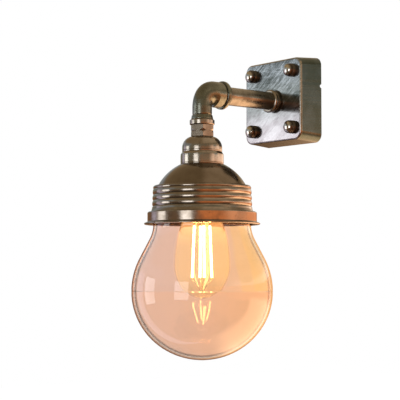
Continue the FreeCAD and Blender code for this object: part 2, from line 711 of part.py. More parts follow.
def holder_terminals():
    """Brass terminal blocks on the insulator, each bored from the top for its wire."""
    pieces = []
    half = TERMINAL_SIDE / 2
    low = HOLDER_TOP_Z
    high = HOLDER_TOP_Z + TERMINAL_H
    for x, y, out in terminal_places():
        body = block((x - half, x + half), (y - half, y + half), (low, high))
        bore = rod_down(WIRE_R + SEAT, x, y, high + PAST, low + WIRE_SHORT - SEAT)
        middle = V(x, y, (low + high) / 2)
        screw_hole = bar(middle, middle + out * (half + PAST), WAY_SCREW_R + SEAT)
        pieces.append(body.cut(bore).cut(screw_hole))
    return Part.makeCompound(pieces)


def holder_terminal_screws():
    pieces = []
    half = TERMINAL_SIDE / 2
    for x, y, out in terminal_places():
        middle = V(x, y, HOLDER_TOP_Z + TERMINAL_H / 2)
        start = middle + out * (WIRE_R + SEAT)
        pieces.append(bar(start, middle + out * (half + TERMINAL_SCREW_OUT), WAY_SCREW_R))
    return Part.makeCompound(pieces)


def shade_ring():
    """Ring nut on the insulator that clamps the gallery from below."""
    top = DOME_TOP - GALLERY_WALL
    return turned_on_drop(ring(SHADE_RING_R, HOLDER_R + SEAT, top - SHADE_RING_H, top))


# ---- gallery ---------------------------------------------------------------------------------
def swell(groove, crest):
    """Middle of the arc between a rib's groove and its crest, upright at the crest."""
    out = crest[0] - groove[0]
    along = groove[1] - crest[1]
    radius = (out ** 2 + along ** 2) / (2 * out)
    turn = math.degrees(math.atan2(along, radius - out))
    return on_circle((crest[0] - radius, crest[1]), radius, turn / 2)


def gallery():
    """Dome, ribbed collar, band and rolled lip, turned as one thin casting."""
    inner_sphere = DOME_SPHERE_R - GALLERY_WALL
    centre = (0, SPHERE_Z)
    top_angle = math.degrees(math.atan2(DOME_TOP - SPHERE_Z, DOME_TOP_R))
    base_angle = math.degrees(math.asin(DOME_SPHERE_DROP / DOME_SPHERE_R))
    base_r = DOME_SPHERE_R * math.cos(math.radians(base_angle))
    under_top = DOME_TOP - GALLERY_WALL
    under_top_r = math.sqrt(inner_sphere ** 2 - (under_top - SPHERE_Z) ** 2)
    under_angle = math.degrees(math.atan2(under_top - SPHERE_Z, under_top_r))
    under_base = DOME_BASE - GALLERY_WALL
    under_base_r = math.sqrt(inner_sphere ** 2 - (under_base - SPHERE_Z) ** 2)
    under_base_angle = math.degrees(math.atan2(under_base - SPHERE_Z, under_base_r))
    hole = HOLDER_R + SEAT

    steps = [(DOME_TOP_R, DOME_TOP)]
    steps.append((*on_circle(centre, DOME_SPHERE_R, (top_angle + base_angle) / 2), base_r, DOME_BASE))
    steps.append((TOP_BEAD_R - TOP_BEAD_ROUND, DOME_BASE))
    bead_centre = (TOP_BEAD_R - TOP_BEAD_ROUND, DOME_BASE - TOP_BEAD_ROUND)
    steps.append((*on_circle(bead_centre, TOP_BEAD_ROUND, 45), TOP_BEAD_R, bead_centre[1]))
    groove = (TOP_BEAD_R - TOP_BEAD_GROOVE, DOME_BASE - TOP_BEAD_H)
    steps.append(groove)
    for k in range(RIB_COUNT):
        crest = (RIB_CREST_R + k * RIB_GROW, groove[1] - RIB_CREST_DROP)
        steps.append((*swell(groove, crest), *crest))
        groove = (crest[0] - RIB_DEPTH, groove[1] - RIB_PITCH)
        steps.append((*swell(groove, crest), *groove))
    steps.append((groove[0] + RIB_DEPTH, (groove[1] + BAND_TOP) / 2, FLARE_R, BAND_TOP))
    steps.append((BAND_R - BAND_EDGE, BAND_TOP))
    band_edge = on_circle((BAND_R - BAND_EDGE, BAND_TOP - BAND_EDGE), BAND_EDGE, 45)
    steps.append((*band_edge, BAND_R, BAND_TOP - BAND_EDGE))
    steps.append((BAND_R, LIP_TOP))
    tip = (LIP_R - LIP_EDGE, GALLERY_END + LIP_EDGE)
    steps.append(on_circle(tip, LIP_EDGE, 80))
    steps.append((*on_circle(tip, LIP_EDGE, -5), tip[0], GALLERY_END))
    steps.append((BAND_BORE, GALLERY_END))
    steps.append((BAND_BORE, STEP_Z))
    steps.append((GALLERY_BORE, STEP_Z))
    steps.append((GALLERY_BORE, under_base))
    steps.append((under_base_r, under_base))
    under_mid = on_circle(centre, inner_sphere, (under_base_angle + under_angle) / 2)
    steps.append((*under_mid, under_top_r, under_top))
    steps.append((hole, under_top))
    body = turned_on_drop(outline((hole, DOME_TOP), *steps))
    depth = GALLERY_BORE - THREAD_NECK_R - 2 * RUN - THREAD_SIDE_GAP
    turn = 360 * (THREAD_W + THREAD_SIDE_GAP) / THREAD_LEAD
    return body.fuse(thread_ridge(GALLERY_BORE, -depth, THREAD_BOTTOM, turn))


# ---- globe -----------------------------------------------------------------------------------
def globe_curve(inset):
    """The globe's outline from its bottom to its neck, drawn inwards by inset: a quarter of an
    ellipse, an arc, a straight shoulder and a hollow arc that ends upright."""
    across = GLOBE_R - inset
    depth = GLOBE_DEPTH - inset
    shoulder = math.radians(GLOBE_SHOULDER)
    blend = GLOBE_NECK_BLEND + inset
    neck = GLOBE_NECK_R - inset
    arc_end = (across * math.cos(shoulder), across * math.sin(shoulder))
    blend_start_r = neck + blend * (1 - math.cos(shoulder))
    blend_start_h = arc_end[1] + (arc_end[0] - blend_start_r) / math.tan(shoulder)
    neck_h = blend_start_h + blend * math.sin(shoulder)
    return across, depth, arc_end, (blend_start_r, blend_start_h), (neck, neck_h)


NECK_RISE = globe_curve(0)[4][1]
EQUATOR_Z = GALLERY_END - NECK_RISE + GLOBE_IN_LIP


def globe_form(inset, top):
    """Solid of revolution inside the globe's outline, with its neck run up to top."""
    across, depth, arc_end, blend_start, neck = globe_curve(inset)
    centre = (0, EQUATOR_Z)
    arc_mid = on_circle(centre, across, GLOBE_SHOULDER / 2)
    blend = GLOBE_NECK_BLEND + inset
    blend_mid = on_circle((neck[0] + blend, EQUATOR_Z + neck[1]), blend, 180 + GLOBE_SHOULDER / 2)
    upper = outline((0, EQUATOR_Z), (across, EQUATOR_Z),
                    (*arc_mid, arc_end[0], EQUATOR_Z + arc_end[1]),
                    (blend_start[0], EQUATOR_Z + blend_start[1]),
                    (*blend_mid, neck[0], EQUATOR_Z + neck[1]), (neck[0], top), (0, top))
    return turned_on_drop(upper).fuse(lower_bowl(across, depth, EQUATOR_Z)).removeSplitter()


def thread_ridge(radius, out, bottom, turn):
    """A ridge of a right-hand screw thread that winds up from bottom on a neck (out is
    positive) or in a bore (out is negative), starting turn degrees round."""
    height = THREAD_TURNS * THREAD_LEAD
    foot = radius - math.copysign(THREAD_ROOT, out)
    half = THREAD_W / 2
    corners = [V(foot, 0, -half), V(radius + out, 0, -half / 3), V(radius + out, 0, half / 3),
               V(foot, 0, half), V(foot, 0, -half)]
    helix = Part.Wire(Part.makeHelix(THREAD_LEAD, height, radius))
    ridge = helix.makePipeShell([Part.makePolygon(corners)], True, True)
    ridge.rotate(V(0, 0, 0), V(0, 0, 1), turn)
    ridge.translate(V(0, DROP_Y, bottom))
    return ridge


def glass_globe():
    """Thick pressed glass, pear-shaped, with a narrower threaded neck."""
    shoulder_r = GLOBE_NECK_R - GLOBE_RIM_ROUND
    rounding_z = GLASS_SHOULDER_Z - GLOBE_RIM_ROUND
    shoulder_mid = on_circle((shoulder_r, rounding_z), GLOBE_RIM_ROUND, 45)
    below = GLASS_SHOULDER_Z - GLOBE_WALL - PAST
    outer = globe_form(0, below)
    neck = turned_on_drop(outline((0, below), (GLOBE_NECK_R, below), (GLOBE_NECK_R, rounding_z),
                                  (*shoulder_mid, shoulder_r, GLASS_SHOULDER_Z),
                                  (THREAD_NECK_R, GLASS_SHOULDER_Z), (THREAD_NECK_R, GLASS_RIM_Z),
                                  (0, GLASS_RIM_Z)))
    inner = globe_form(GLOBE_WALL, below)
    throat_r = THREAD_NECK_R - GLOBE_WALL
    wide_r = GLOBE_NECK_R - GLOBE_WALL
    throat = turned_on_drop(outline((0, below), (wide_r, below), (throat_r, below + THROAT_RISE),
                                    (throat_r, GLASS_RIM_Z + PAST), (0, GLASS_RIM_Z + PAST)))
    glass = outer.fuse(neck).cut(inner.fuse(throat)).removeSplitter()
    return glass.fuse(thread_ridge(THREAD_NECK_R, THREAD_DEPTH, THREAD_BOTTOM, 0))


def glass_gasket():
    """Soft ring between the glass shoulder and the step inside the band."""
    bore = THREAD_NECK_R + 3 * RUN
    outer = BAND_BORE - 2 * RUN
    return turned_on_drop(ring(outer, bore, GLASS_SHOULDER_Z + RUN, GLASS_SHOULDER_Z + RUN + GASKET_T))


# ---- bulb ------------------------------------------------------------------------------------
def bulb_form(inset):
    """Solid inside the bulb's outline: elliptical end, long arc, straight cone, round neck."""
    across = BULB_R - inset
    side_r = BULB_SIDE_R - inset
    shoulder = math.radians(BULB_SHOULDER)
    centre = (BULB_R - BULB_SIDE_R, BULB_WIDEST)
    arc_end = on_circle(centre, side_r, BULB_SHOULDER)
    arc_mid = on_circle(centre, side_r, BULB_SHOULDER / 2)
    neck = BULB_NECK_R - inset
    neck_z = arc_end[1] + (arc_end[0] - neck) / math.tan(shoulder)
    top = max(BULB_CAP_END + BULB_NECK_IN_CAP, neck_z + PAST)
    upper = outline((0, BULB_WIDEST), (across, BULB_WIDEST), (*arc_mid, *arc_end), (neck, neck_z),
                    (neck, top), (0, top))
    depth = BULB_TIP_H - inset
    return turned_on_drop(upper).fuse(lower_bowl(across, depth, BULB_WIDEST)).removeSplitter()


def bulb_glass():
    return bulb_form(0).cut(bulb_form(BULB_WALL))


def bulb_cap():
    """Rolled screw shell; its rounded thread is drawn as plain rings."""
    thread_top = BULB_SHELL_TOP - BULB_CAP_TAPER
    root = BULB_CAP_R - BULB_CAP_DEPTH
    inner = root - BULB_CAP_WALL
    steps = [(BULB_INSULATOR_R, BULB_SHELL_TOP), (root, thread_top)]
    here = thread_top
    for _ in range(BULB_CAP_TURNS):
        steps.append((BULB_CAP_R, here - BULB_CAP_PITCH / 2, root, here - BULB_CAP_PITCH))
        here -= BULB_CAP_PITCH
    steps.append((root, BULB_CAP_END))
    steps.append((inner, BULB_CAP_END))
    steps.append((inner, thread_top))
    steps.append((BULB_INSULATOR_R - BULB_CAP_WALL, BULB_SHELL_TOP - BULB_CAP_WALL))
    return turned_on_drop(outline((BULB_INSULATOR_R - BULB_CAP_WALL, BULB_SHELL_TOP), *steps))


def bulb_insulator():
    top = BULB_SHELL_TOP + BULB_INSULATOR_H
    return turned_on_drop(outline((0, BULB_SHELL_TOP), (BULB_INSULATOR_R, BULB_SHELL_TOP),
                                  (BULB_CONTACT_R, top), (0, top)))


def bulb_contact():
    top = -BULB_TOP
    under = top - BULB_CONTACT_H + BULB_CONTACT_GAP
    return turned_on_drop(outline((0, under), (BULB_CONTACT_R, under),
                                  (BULB_CONTACT_R - BULB_CONTACT_CHAMFER, top), (0, top)))


def bulb_stem():
    """Glass flare sealed in the neck, with the pinched rod that carries the leads."""
    top = BULB_CAP_END + STEM_IN_CAP
    flare_r = BULB_NECK_R - BULB_WALL - SEAT
    foot = top - STEM_FOOT
    return turned_on_drop(outline((0, top), (flare_r, top), (flare_r - BULB_WALL, foot),
                                  (flare_r / 2, foot - BULB_WALL, STEM_R, foot - STEM_FOOT),
                                  (STEM_R, STEM_END), (0, STEM_END)))


def filament_ends():
    """Upper and lower end of each filament."""
    pairs = []
    for k in range(FILAMENT_COUNT):
        turn = FILAMENT_TURN + 360.0 * k / FILAMENT_COUNT
        top = on_circle((0, DROP_Y), FILAMENT_TOP_RING, turn)
        end = on_circle((0, DROP_Y), FILAMENT_END_RING, turn)
        pairs.append((V(top[0], top[1], FILAMENT_TOP_Z), V(end[0], end[1], FILAMENT_END_Z)))
    return pairs


def bulb_filaments():
    return Part.makeCompound([bar(top, end, FILAMENT_R) for top, end in filament_ends()])


def bulb_leads():
    """Thin leads from the stem to the filaments, and from their lower ends to the middle."""
    post = rod_down(2 * LEAD_R, 0, DROP_Y, STEM_END, LEAD_MEET_Z - LEAD_R)
    meet = V(0, DROP_Y, LEAD_MEET_Z)
    root = V(0, DROP_Y, STEM_END - 2 * LEAD_R)
    parts = []
    for top, end in filament_ends():
        along = (end - top).normalize()
        parts.append(bar(root, top - along * LEAD_R, LEAD_R))
        parts.append(bar(end + along * LEAD_R, meet, LEAD_R))
    return post.fuse(parts)


# ---- wiring ----------------------------------------------------------------------------------
def way_places():
    return (-WAY_PITCH / 2, WAY_PITCH / 2)


def way_screw_places():
    return (-BLOCK_TOP - BLOCK_Z + WAY_SCREW_INSET, -BLOCK_TOP - WAY_SCREW_INSET)


def terminal_block():
    """Insulating block in the box: two ways bored from top to bottom, screws from the back."""
    z = (-BLOCK_TOP - BLOCK_Z, -BLOCK_TOP)
    body = block((-BLOCK_X / 2, BLOCK_X / 2), (INNER_FRONT_Y + BLOCK_PAD, BLOCK_BACK_Y), z)
    for x in way_places():
        body = body.cut(rod_down(WAY_R + SEAT, x, WAY_Y, z[1] + PAST, z[0] - PAST))
        for side in way_screw_places():
            hole_r = WAY_SCREW_R + 2 * SEAT
            body = body.cut(rod_along_y(hole_r, x, side, WAY_Y, BLOCK_BACK_Y + PAST))
    middle = (z[0] + z[1]) / 2
    body = body.cut(rod_along_y(BLOCK_SCREW_R + SEAT, 0, middle, INNER_FRONT_Y, BLOCK_BACK_Y + PAST))
    recess_r = BLOCK_SCREW_HEAD_R + SEAT
    return body.cut(rod_along_y(recess_r, 0, middle, BLOCK_RECESS_Y, BLOCK_BACK_Y + PAST))


def block_inserts():
    """Brass tubes in the two ways."""
    pieces = []
    z = (-BLOCK_TOP - BLOCK_Z, -BLOCK_TOP)
    for x in way_places():
        tube = rod_down(WAY_R, x, WAY_Y, z[1] - WAY_INSET, z[0] + WAY_INSET)
        tube = tube.cut(rod_down(WAY_BORE, x, WAY_Y, z[1], z[0]))
        for side in way_screw_places():
            tube = tube.cut(rod_along_y(WAY_SCREW_R + SEAT, x, side, WAY_Y, BLOCK_BACK_Y))
        pieces.append(tube)
    return Part.makeCompound(pieces)


def block_terminal_screws():
    pieces = []
    start = WAY_Y + WIRE_R + SEAT
    for x in way_places():
        for side in way_screw_places():
            pieces.append(rod_along_y(WAY_SCREW_R, x, side, start, BLOCK_BACK_Y - WAY_INSET))
    return Part.makeCompound(pieces)


def block_fixing_screw():
    """Machine screw that holds the block on its pad."""
    z = -BLOCK_TOP - BLOCK_Z / 2
    head_y = BLOCK_RECESS_Y
    shank = rod_along_y(BLOCK_SCREW_R, 0, z, INNER_FRONT_Y + SEAT, head_y + PAST)
    head = rod_along_y(BLOCK_SCREW_HEAD_R, 0, z, head_y, head_y + BLOCK_SCREW_HEAD_H)
    return shank.fuse(head)


def earth_screw():
    """Pan-head screw in the tall post."""
    head_y = EARTH_TAG_Y + TAG_T
    return turned_on_y(outline((0, INNER_FRONT_Y + SEAT), (EARTH_SCREW_R, INNER_FRONT_Y + SEAT),
                               (EARTH_SCREW_R, head_y), (EARTH_HEAD_R, head_y),
                               (EARTH_HEAD_R, head_y + EARTH_HEAD_H - EARTH_HEAD_EDGE),
                               (EARTH_HEAD_R - EARTH_HEAD_EDGE, head_y + EARTH_HEAD_H),
                               (0, head_y + EARTH_HEAD_H)),
                       0, EARTH_Z)


def earth_tag():
    """Ring tag under the earth screw, with the barrel that grips the earth wire."""
    barrel_y = EARTH_TAG_Y + TAG_BARREL_R
    flat_y = (EARTH_TAG_Y, EARTH_TAG_Y + TAG_T)
    plate = rod_along_y(TAG_R, 0, EARTH_Z, *flat_y)
    arm = block((-TAG_BARREL_R, TAG_BARREL_R), flat_y, (TAG_BARREL_END, EARTH_Z))
    barrel_top = EARTH_Z - EARTH_HEAD_R - RUN
    barrel = rod_down(TAG_BARREL_R, 0, barrel_y, barrel_top, TAG_BARREL_END)
    hole = rod_along_y(EARTH_SCREW_R + SEAT, 0, EARTH_Z, flat_y[0] - PAST, flat_y[1] + PAST)
    bore = rod_down(WIRE_R + SEAT, 0, barrel_y, EARTH_Z, TAG_BARREL_END - PAST)
    return plate.fuse([arm, barrel]).cut(hole).cut(bore)


def pair_wire(name, side):
    """Live or neutral: up out of the block, through the arm and the drop, to its terminal."""
    start_x = side * WAY_PITCH / 2
    mid_x = side * PAIR_SPREAD
    end_x = side * CONTACT_PITCH
    points = [V(start_x, WAY_Y, -BLOCK_TOP - BLOCK_Z / 2), V(start_x, WAY_Y, -BLOCK_TOP + WIRE_ABOVE),
              V(mid_x, WAY_Y, 0), V(mid_x, DROP_Y, 0), V(mid_x, DROP_Y, NIPPLE_END),
              V(end_x, DROP_Y, HOLDER_TOP_Z + TERMINAL_H + WIRE_ABOVE),
              V(end_x, DROP_Y, HOLDER_TOP_Z + WIRE_SHORT)]
    bends = [BEND_AT_HOLDER, BEND_AT_BOX, BEND_AT_ELBOW, BEND_AT_HOLDER, BEND_AT_HOLDER]
    return wire(name, points, bends)


def live_wire():
    return pair_wire("live_wire", -1)


def neutral_wire():
    return pair_wire("neutral_wire", 1)


def earth_wire():
    """From the ring tag in the box to the lampholder's earth terminal."""
    y = EARTH_TAG_Y + TAG_BARREL_R
    outer_y = DROP_Y - EARTH_RISE
    end_y = DROP_Y - CONTACT_PITCH
    points = [V(0, y, EARTH_Z - EARTH_HEAD_R - PAST), V(0, y, EARTH_RISE), V(0, outer_y, EARTH_RISE),
              V(0, outer_y, NIPPLE_END), V(0, end_y, HOLDER_TOP_Z + TERMINAL_H + WIRE_ABOVE),
              V(0, end_y, HOLDER_TOP_Z + WIRE_SHORT)]
    bend = BEND_AT_ELBOW + EARTH_RISE
    return wire("earth_wire", points, [BEND_AT_BOX, bend, BEND_AT_HOLDER, BEND_AT_HOLDER])


PIECES = [wall_plate, wall_bracket, box_screws, screw_washers, screw_caps, arm_collar,
          arm_backnut, arm_pipe, elbow, drop_collar, drop_nipple, upper_locknut, lower_locknut,
          holder_cap, cap_locknut, holder_ring, holder_body, socket_shell, centre_contact,
          holder_rivets, holder_terminals, holder_terminal_screws, shade_ring, gallery,
          glass_globe, glass_gasket, bulb_glass, bulb_cap, bulb_insulator, bulb_contact,
          bulb_stem, bulb_filaments, bulb_leads, terminal_block, block_inserts,
          block_terminal_screws, block_fixing_screw, earth_screw, earth_tag, live_wire,
          neutral_wire, earth_wire]


def main():
    os.makedirs("parts", exist_ok=True)
    for piece in PIECES:
        shape = piece()
        solids = len(shape.Solids)
        print(f"{piece.__name__}: {solids} solid(s), valid {shape.isValid()}, {shape.Volume:.0f} mm3")
        shape.exportStep(f"parts/{piece.__name__}.step")


main()
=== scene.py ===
"""Industrial pipe wall light: the looks of each piece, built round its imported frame.

Lengths of the pieces are millimetres and are turned to metres as they are used; lengths on the stage
are metres. The lamp hangs on the drop axis, which is parallel to Z; the arm runs along Y; the wall is
at y = 0.
"""
import math
from collections import namedtuple

import bpy
from bpy.props import FloatProperty, FloatVectorProperty, PointerProperty
from mathutils import Matrix, Vector


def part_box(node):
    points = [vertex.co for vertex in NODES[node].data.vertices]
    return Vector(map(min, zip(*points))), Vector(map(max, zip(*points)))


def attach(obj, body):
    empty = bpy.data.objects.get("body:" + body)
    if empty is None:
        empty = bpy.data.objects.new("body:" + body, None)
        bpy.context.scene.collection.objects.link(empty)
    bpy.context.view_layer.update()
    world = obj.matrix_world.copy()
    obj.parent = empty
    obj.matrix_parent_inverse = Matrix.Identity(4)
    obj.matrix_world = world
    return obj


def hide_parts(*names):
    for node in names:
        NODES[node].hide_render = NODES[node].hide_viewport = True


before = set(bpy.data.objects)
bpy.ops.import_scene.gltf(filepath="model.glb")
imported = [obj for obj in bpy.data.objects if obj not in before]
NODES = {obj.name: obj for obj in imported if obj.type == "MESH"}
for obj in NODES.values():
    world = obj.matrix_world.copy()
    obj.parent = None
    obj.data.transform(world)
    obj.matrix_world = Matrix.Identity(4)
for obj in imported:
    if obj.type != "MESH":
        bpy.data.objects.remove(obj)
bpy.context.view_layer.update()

bl_info = {
    "name": "Industrial pipe wall light",
    "version": (1, 0, 0),
    "blender": (4, 5, 0),
    "location": "3D view > Sidebar > Wall light",
    "description": "Models and finishes the pieces of an industrial pipe wall light",
    "category": "Object",
}

MM = 0.001


def middle_y(node):
    low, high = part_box(node)
    return (low.y + high.y) / 2


DROP_Y = middle_y("drop_collar")
DROP_AXIS = Vector((0, DROP_Y, 0))
SHARP = math.radians(32)        # edges that turn more than this stay sharp
WELD = 0.002 * MM               # vertices closer than this are one

# Places and sizes that pieces share, in millimetres.
DROP = DROP_Y / MM
CAP_AT = 33.75                  # of the fixings, aside of and above the pipe
FIXING_SPOTS = [(CAP_AT * i, CAP_AT * j) for i in (-1, 1) for j in (-1, 1)]
SEAT = 0.05                     # room round a piece in its seat
PIPE_END = -124.4               # along Y, inside the elbow
ELBOW_BEND = 15.5               # radius of the elbow's middle line
NIPPLE_HOLE = 6.55              # radius of the holes that the nipple goes through
HOLDER_HOLE = 20.05             # radius of the holes that the porcelain goes through
RING_RADIUS = 24.7              # of the lampholder's ring
RING_FOOT = -82.0               # height of its lower end, where the gallery starts
GALLERY_BORE = 54.0
GLOBE_RADIUS = 80.3
GLOBE_NECK = 55.6               # radius under the gallery's lip
EQUATOR_Z = -226.52             # height of the globe's widest place
BOWL_STEPS = 24                 # points of its outline below that
THREAD_Z = -137.4               # height at which the globe's thread starts
THREAD_LEAD = 8.0
THREAD_TURNS = 1.5
BULB_LEAD = 3.63                # rise of the bulb cap's thread in one turn

Ring = namedtuple("Ring", "y z turn radius")        # one ring of the elbow, turned by some degrees

# Route of the wires, in millimetres.
WIRE_Y = -14                    # from the wall, in the box
PART_Z = -55.5                  # height at which they part, in the lampholder's cap
APART_Z = -64.5                 # height from which each goes straight down to its terminal
TERMINAL_Z = -70.8
TERMINAL_AT = 10                # from the drop axis


# ---- sizes and colours -----------------------------------------------------------------------
def length(name, description, default):
    return FloatProperty(name=name, description=description, default=default * MM,
                         min=0, subtype="DISTANCE", unit="LENGTH")


def colour(name, description, default):
    return FloatVectorProperty(name=name, description=description, default=default, size=3,
                               min=0, max=1, subtype="COLOR")


class WallLightSizes(bpy.types.PropertyGroup):
    """Sizes of the modelled pieces, in the frame's own units."""
    box_front: length("Box front", "Side of the wall box's front face", 97)
    box_depth: length("Box depth", "Wall to the front of the box", 32)
    box_corner: length("Box corner", "Radius of the box's four long edges", 10)
    box_edge: length("Box edge", "Rounding round the box's front face", 2.2)
    box_wall: length("Box wall", "Thickness of the box's walls", 4)
    pipe_radius: length("Pipe radius", "Outside radius of the pipe arm", 10.65)
    nut_flats: length("Nut across flats", "Across the flats of the two locknuts", 24.8)
    cast_grain: length("Cast grain", "How far the elbow's cast skin rises and falls", 0.14)
    globe_wall: length("Globe wall", "Thickness of the globe's glass", 3.2)
    seam_rise: length("Seam rise", "How far the globe's mould seam stands out", 0.22)
    filament_radius: length("Filament radius", "Radius of each filament bar", 1.3)
    wire_radius: length("Wire radius", "Radius over a wire's insulation", 1.2)


class WallLightColours(bpy.types.PropertyGroup):
    """Colours of the finishes."""
    pewter: colour("Pewter", "Polished patina of the metal", (0.27, 0.245, 0.21))
    tarnish: colour("Tarnish", "Darker patina left in hollows", (0.12, 0.095, 0.068))
    box_face: colour("Box face", "Brushed face of the wall box", (0.365, 0.36, 0.375))
    box_side: colour("Box side", "Darker sides of the wall box", (0.080, 0.104, 0.100))
    globe_left: colour("Globe, left", "Tint of the glass on its cooler side", (0.885, 0.70, 0.615))
    # The right tint is the lamp's glow, painted into the glass.
    globe_right_painted_glow: colour("Globe, right", "Tint of the glass on its warmer side", (1.0, 0.735, 0.45))
    bulb_tint: colour("Bulb glass", "Tint of the bulb's glass", (1.0, 0.965, 0.82))
    glow: colour("Glow", "Light of the filaments", (1.0, 0.70, 0.32))


def sizes():
    return bpy.context.scene.wall_light_sizes


def colours():
    return bpy.context.scene.wall_light_colours


# ---- modelling -------------------------------------------------------------------------------
def deselect():
    if bpy.context.object and bpy.context.object.mode != "OBJECT":
        bpy.ops.object.mode_set(mode="OBJECT")
    bpy.ops.object.select_all(action="DESELECT")


def select(*pieces):
    """Select these pieces alone; the first is the active one."""
    deselect()
    for piece in pieces:
        piece.select_set(True)
    bpy.context.view_layer.objects.active = pieces[0]


def edit(piece, kind="VERT"):
    select(piece)
    bpy.ops.object.mode_set(mode="EDIT")
    bpy.ops.mesh.select_mode(type=kind)


def pick(piece, test, part="vertices", kind="VERT"):
    """Select the mesh parts that pass a test, and go to edit mode."""
    edit(piece, kind)
    bpy.ops.mesh.select_all(action="DESELECT")
    bpy.ops.object.mode_set(mode="OBJECT")
    mesh = piece.data
    for item in getattr(mesh, part):
        item.select = test(item)
    bpy.ops.object.mode_set(mode="EDIT")


def ends_of(piece, edge):
    return [piece.data.vertices[k].co for k in edge.vertices]


def front_y():
    """Place of the wall box's front face along Y, in millimetres."""
    return -sizes().box_depth / MM


def in_place(piece):
    """Put the piece's place, turn and scale into its mesh."""
    select(piece)
    bpy.ops.object.transform_apply(location=True, rotation=True, scale=True)
    return piece


def smooth(piece, angle=SHARP):
    """Smooth shading with sharp edges kept, and flat faces kept flat beside their roundings."""
    select(piece)
    bpy.ops.object.shade_smooth_by_angle(angle=angle)
    return apply(piece, "WEIGHTED_NORMAL", weight=80, keep_sharp=True)


def apply(piece, kind, **settings):
    """Add a modifier to the piece and apply it."""
    select(piece)
    modifier = piece.modifiers.new(kind.title(), kind)
    for name, value in settings.items():
        setattr(modifier, name, value)
    bpy.ops.object.modifier_apply(modifier=modifier.name)
    return piece


def combine(piece, tool, operation):
    """Boolean the tool into the piece and delete the tool."""
    apply(piece, "BOOLEAN", object=tool, operation=operation, solver="EXACT")
    bpy.data.objects.remove(tool)
    return piece


def join(pieces):
    select(*pieces)
    bpy.ops.object.join()
    return pieces[0]


def weld(piece):
    """Merge doubled vertices and turn all faces outwards, then leave edit mode."""
    edit(piece)
    bpy.ops.mesh.select_all(action="SELECT")
    bpy.ops.mesh.remove_doubles(threshold=WELD)
    bpy.ops.mesh.normals_make_consistent(inside=False)
    bpy.ops.object.mode_set(mode="OBJECT")
    return piece


def eased(corners, steps=4):
    """A profile's points; a corner with a third number is rounded by that radius."""
    points = []
    count = len(corners)
    for k, corner in enumerate(corners):
        here = Vector(corner[:2])
        if len(corner) < 3:
            points.append(here)
            continue
        back = (Vector(corners[k - 1][:2]) - here).normalized()
        ahead = (Vector(corners[(k + 1) % count][:2]) - here).normalized()
        half = back.angle(ahead) / 2
        reach = corner[2] / math.tan(half)
        centre = here + (back + ahead).normalized() * corner[2] / math.sin(half)
        first = (here + back * reach - centre).normalized()
        last = (here + ahead * reach - centre).normalized()
        for step in range(steps + 1):
            points.append(centre + first.slerp(last, step / steps) * corner[2])
    return points


def oval(centre, across, depth, start, end, steps):
    """Points of an oval in a profile, from one angle to another in degrees."""
    points = []
    for step in range(steps + 1):
        turn = math.radians(start + (end - start) * step / steps)
        points.append((centre[0] + across * math.cos(turn), centre[1] + depth * math.sin(turn)))
    return points


def arc(centre, radius, start, end, steps):
    """Points of a round arc in a profile."""
    return oval(centre, radius, radius, start, end, steps)


def beside_drop(points):
    """Points of (radius, height) beside the drop axis, in metres."""
    return [Vector((r * MM, DROP_Y, z * MM)) for r, z in points]


def extruded_line(name, points):
    """A line of edges: one vertex, extruded from point to point. Left in edit mode."""
    deselect()
    bpy.ops.mesh.primitive_plane_add(size=MM, location=points[0])
    piece = bpy.context.object
    piece.name = name
    bpy.ops.object.mode_set(mode="EDIT")
    bpy.ops.mesh.select_mode(type="VERT")
    bpy.ops.mesh.select_all(action="SELECT")
    bpy.ops.mesh.merge(type="CENTER")
    for here, there in zip(points, points[1:]):
        bpy.ops.mesh.extrude_region_move(TRANSFORM_OT_translate={"value": there - here})
    return piece


def turned(name, corners, steps=96):
    """Spin a closed profile of (radius, height) about the drop axis."""
    points = beside_drop(eased(corners))
    piece = extruded_line(name, [*points, points[0]])
    return spun(piece, DROP_AXIS, (0, 0, 1), steps)


def turned_on_arm(name, corners, steps=64):
    """Spin a closed profile of (radius, place along Y) about the arm's axis."""
    points = [Vector((p.x * MM, p.y * MM, 0)) for p in eased(corners)]
    piece = extruded_line(name, [*points, points[0]])
    return spun(piece, Vector((0, 0, 0)), (0, 1, 0), steps)


def spun(piece, centre, axis, steps):
    bpy.ops.mesh.select_all(action="SELECT")
    bpy.ops.mesh.spin(steps=steps, angle=math.tau, center=centre, axis=axis)
    weld(piece)
    return smooth(in_place(piece))


def cylinder(radius, centre, depth, axis="Y", vertices=48):
    """A plain round form for a boolean, centred on a point given in millimetres."""
    turns = {"X": (0, math.pi / 2, 0), "Y": (math.pi / 2, 0, 0)}
    deselect()
    bpy.ops.mesh.primitive_cylinder_add(vertices=vertices, radius=radius * MM, depth=depth * MM,
                                        location=Vector(centre) * MM, rotation=turns[axis])
    return in_place(bpy.context.object)


def cuboid(low, high):
    """A plain box between two corners given in millimetres."""
    low = Vector(low) * MM
    high = Vector(high) * MM
    deselect()
    bpy.ops.mesh.primitive_cube_add(size=1, location=(low + high) / 2)
    piece = bpy.context.object
    piece.scale = high - low
    return in_place(piece)


def copied(piece, shift):
    """A copy with its own mesh, moved by shift."""
    twin = piece.copy()
    twin.data = piece.data.copy()
    bpy.context.scene.collection.objects.link(twin)
    twin.location = shift
    return in_place(twin)


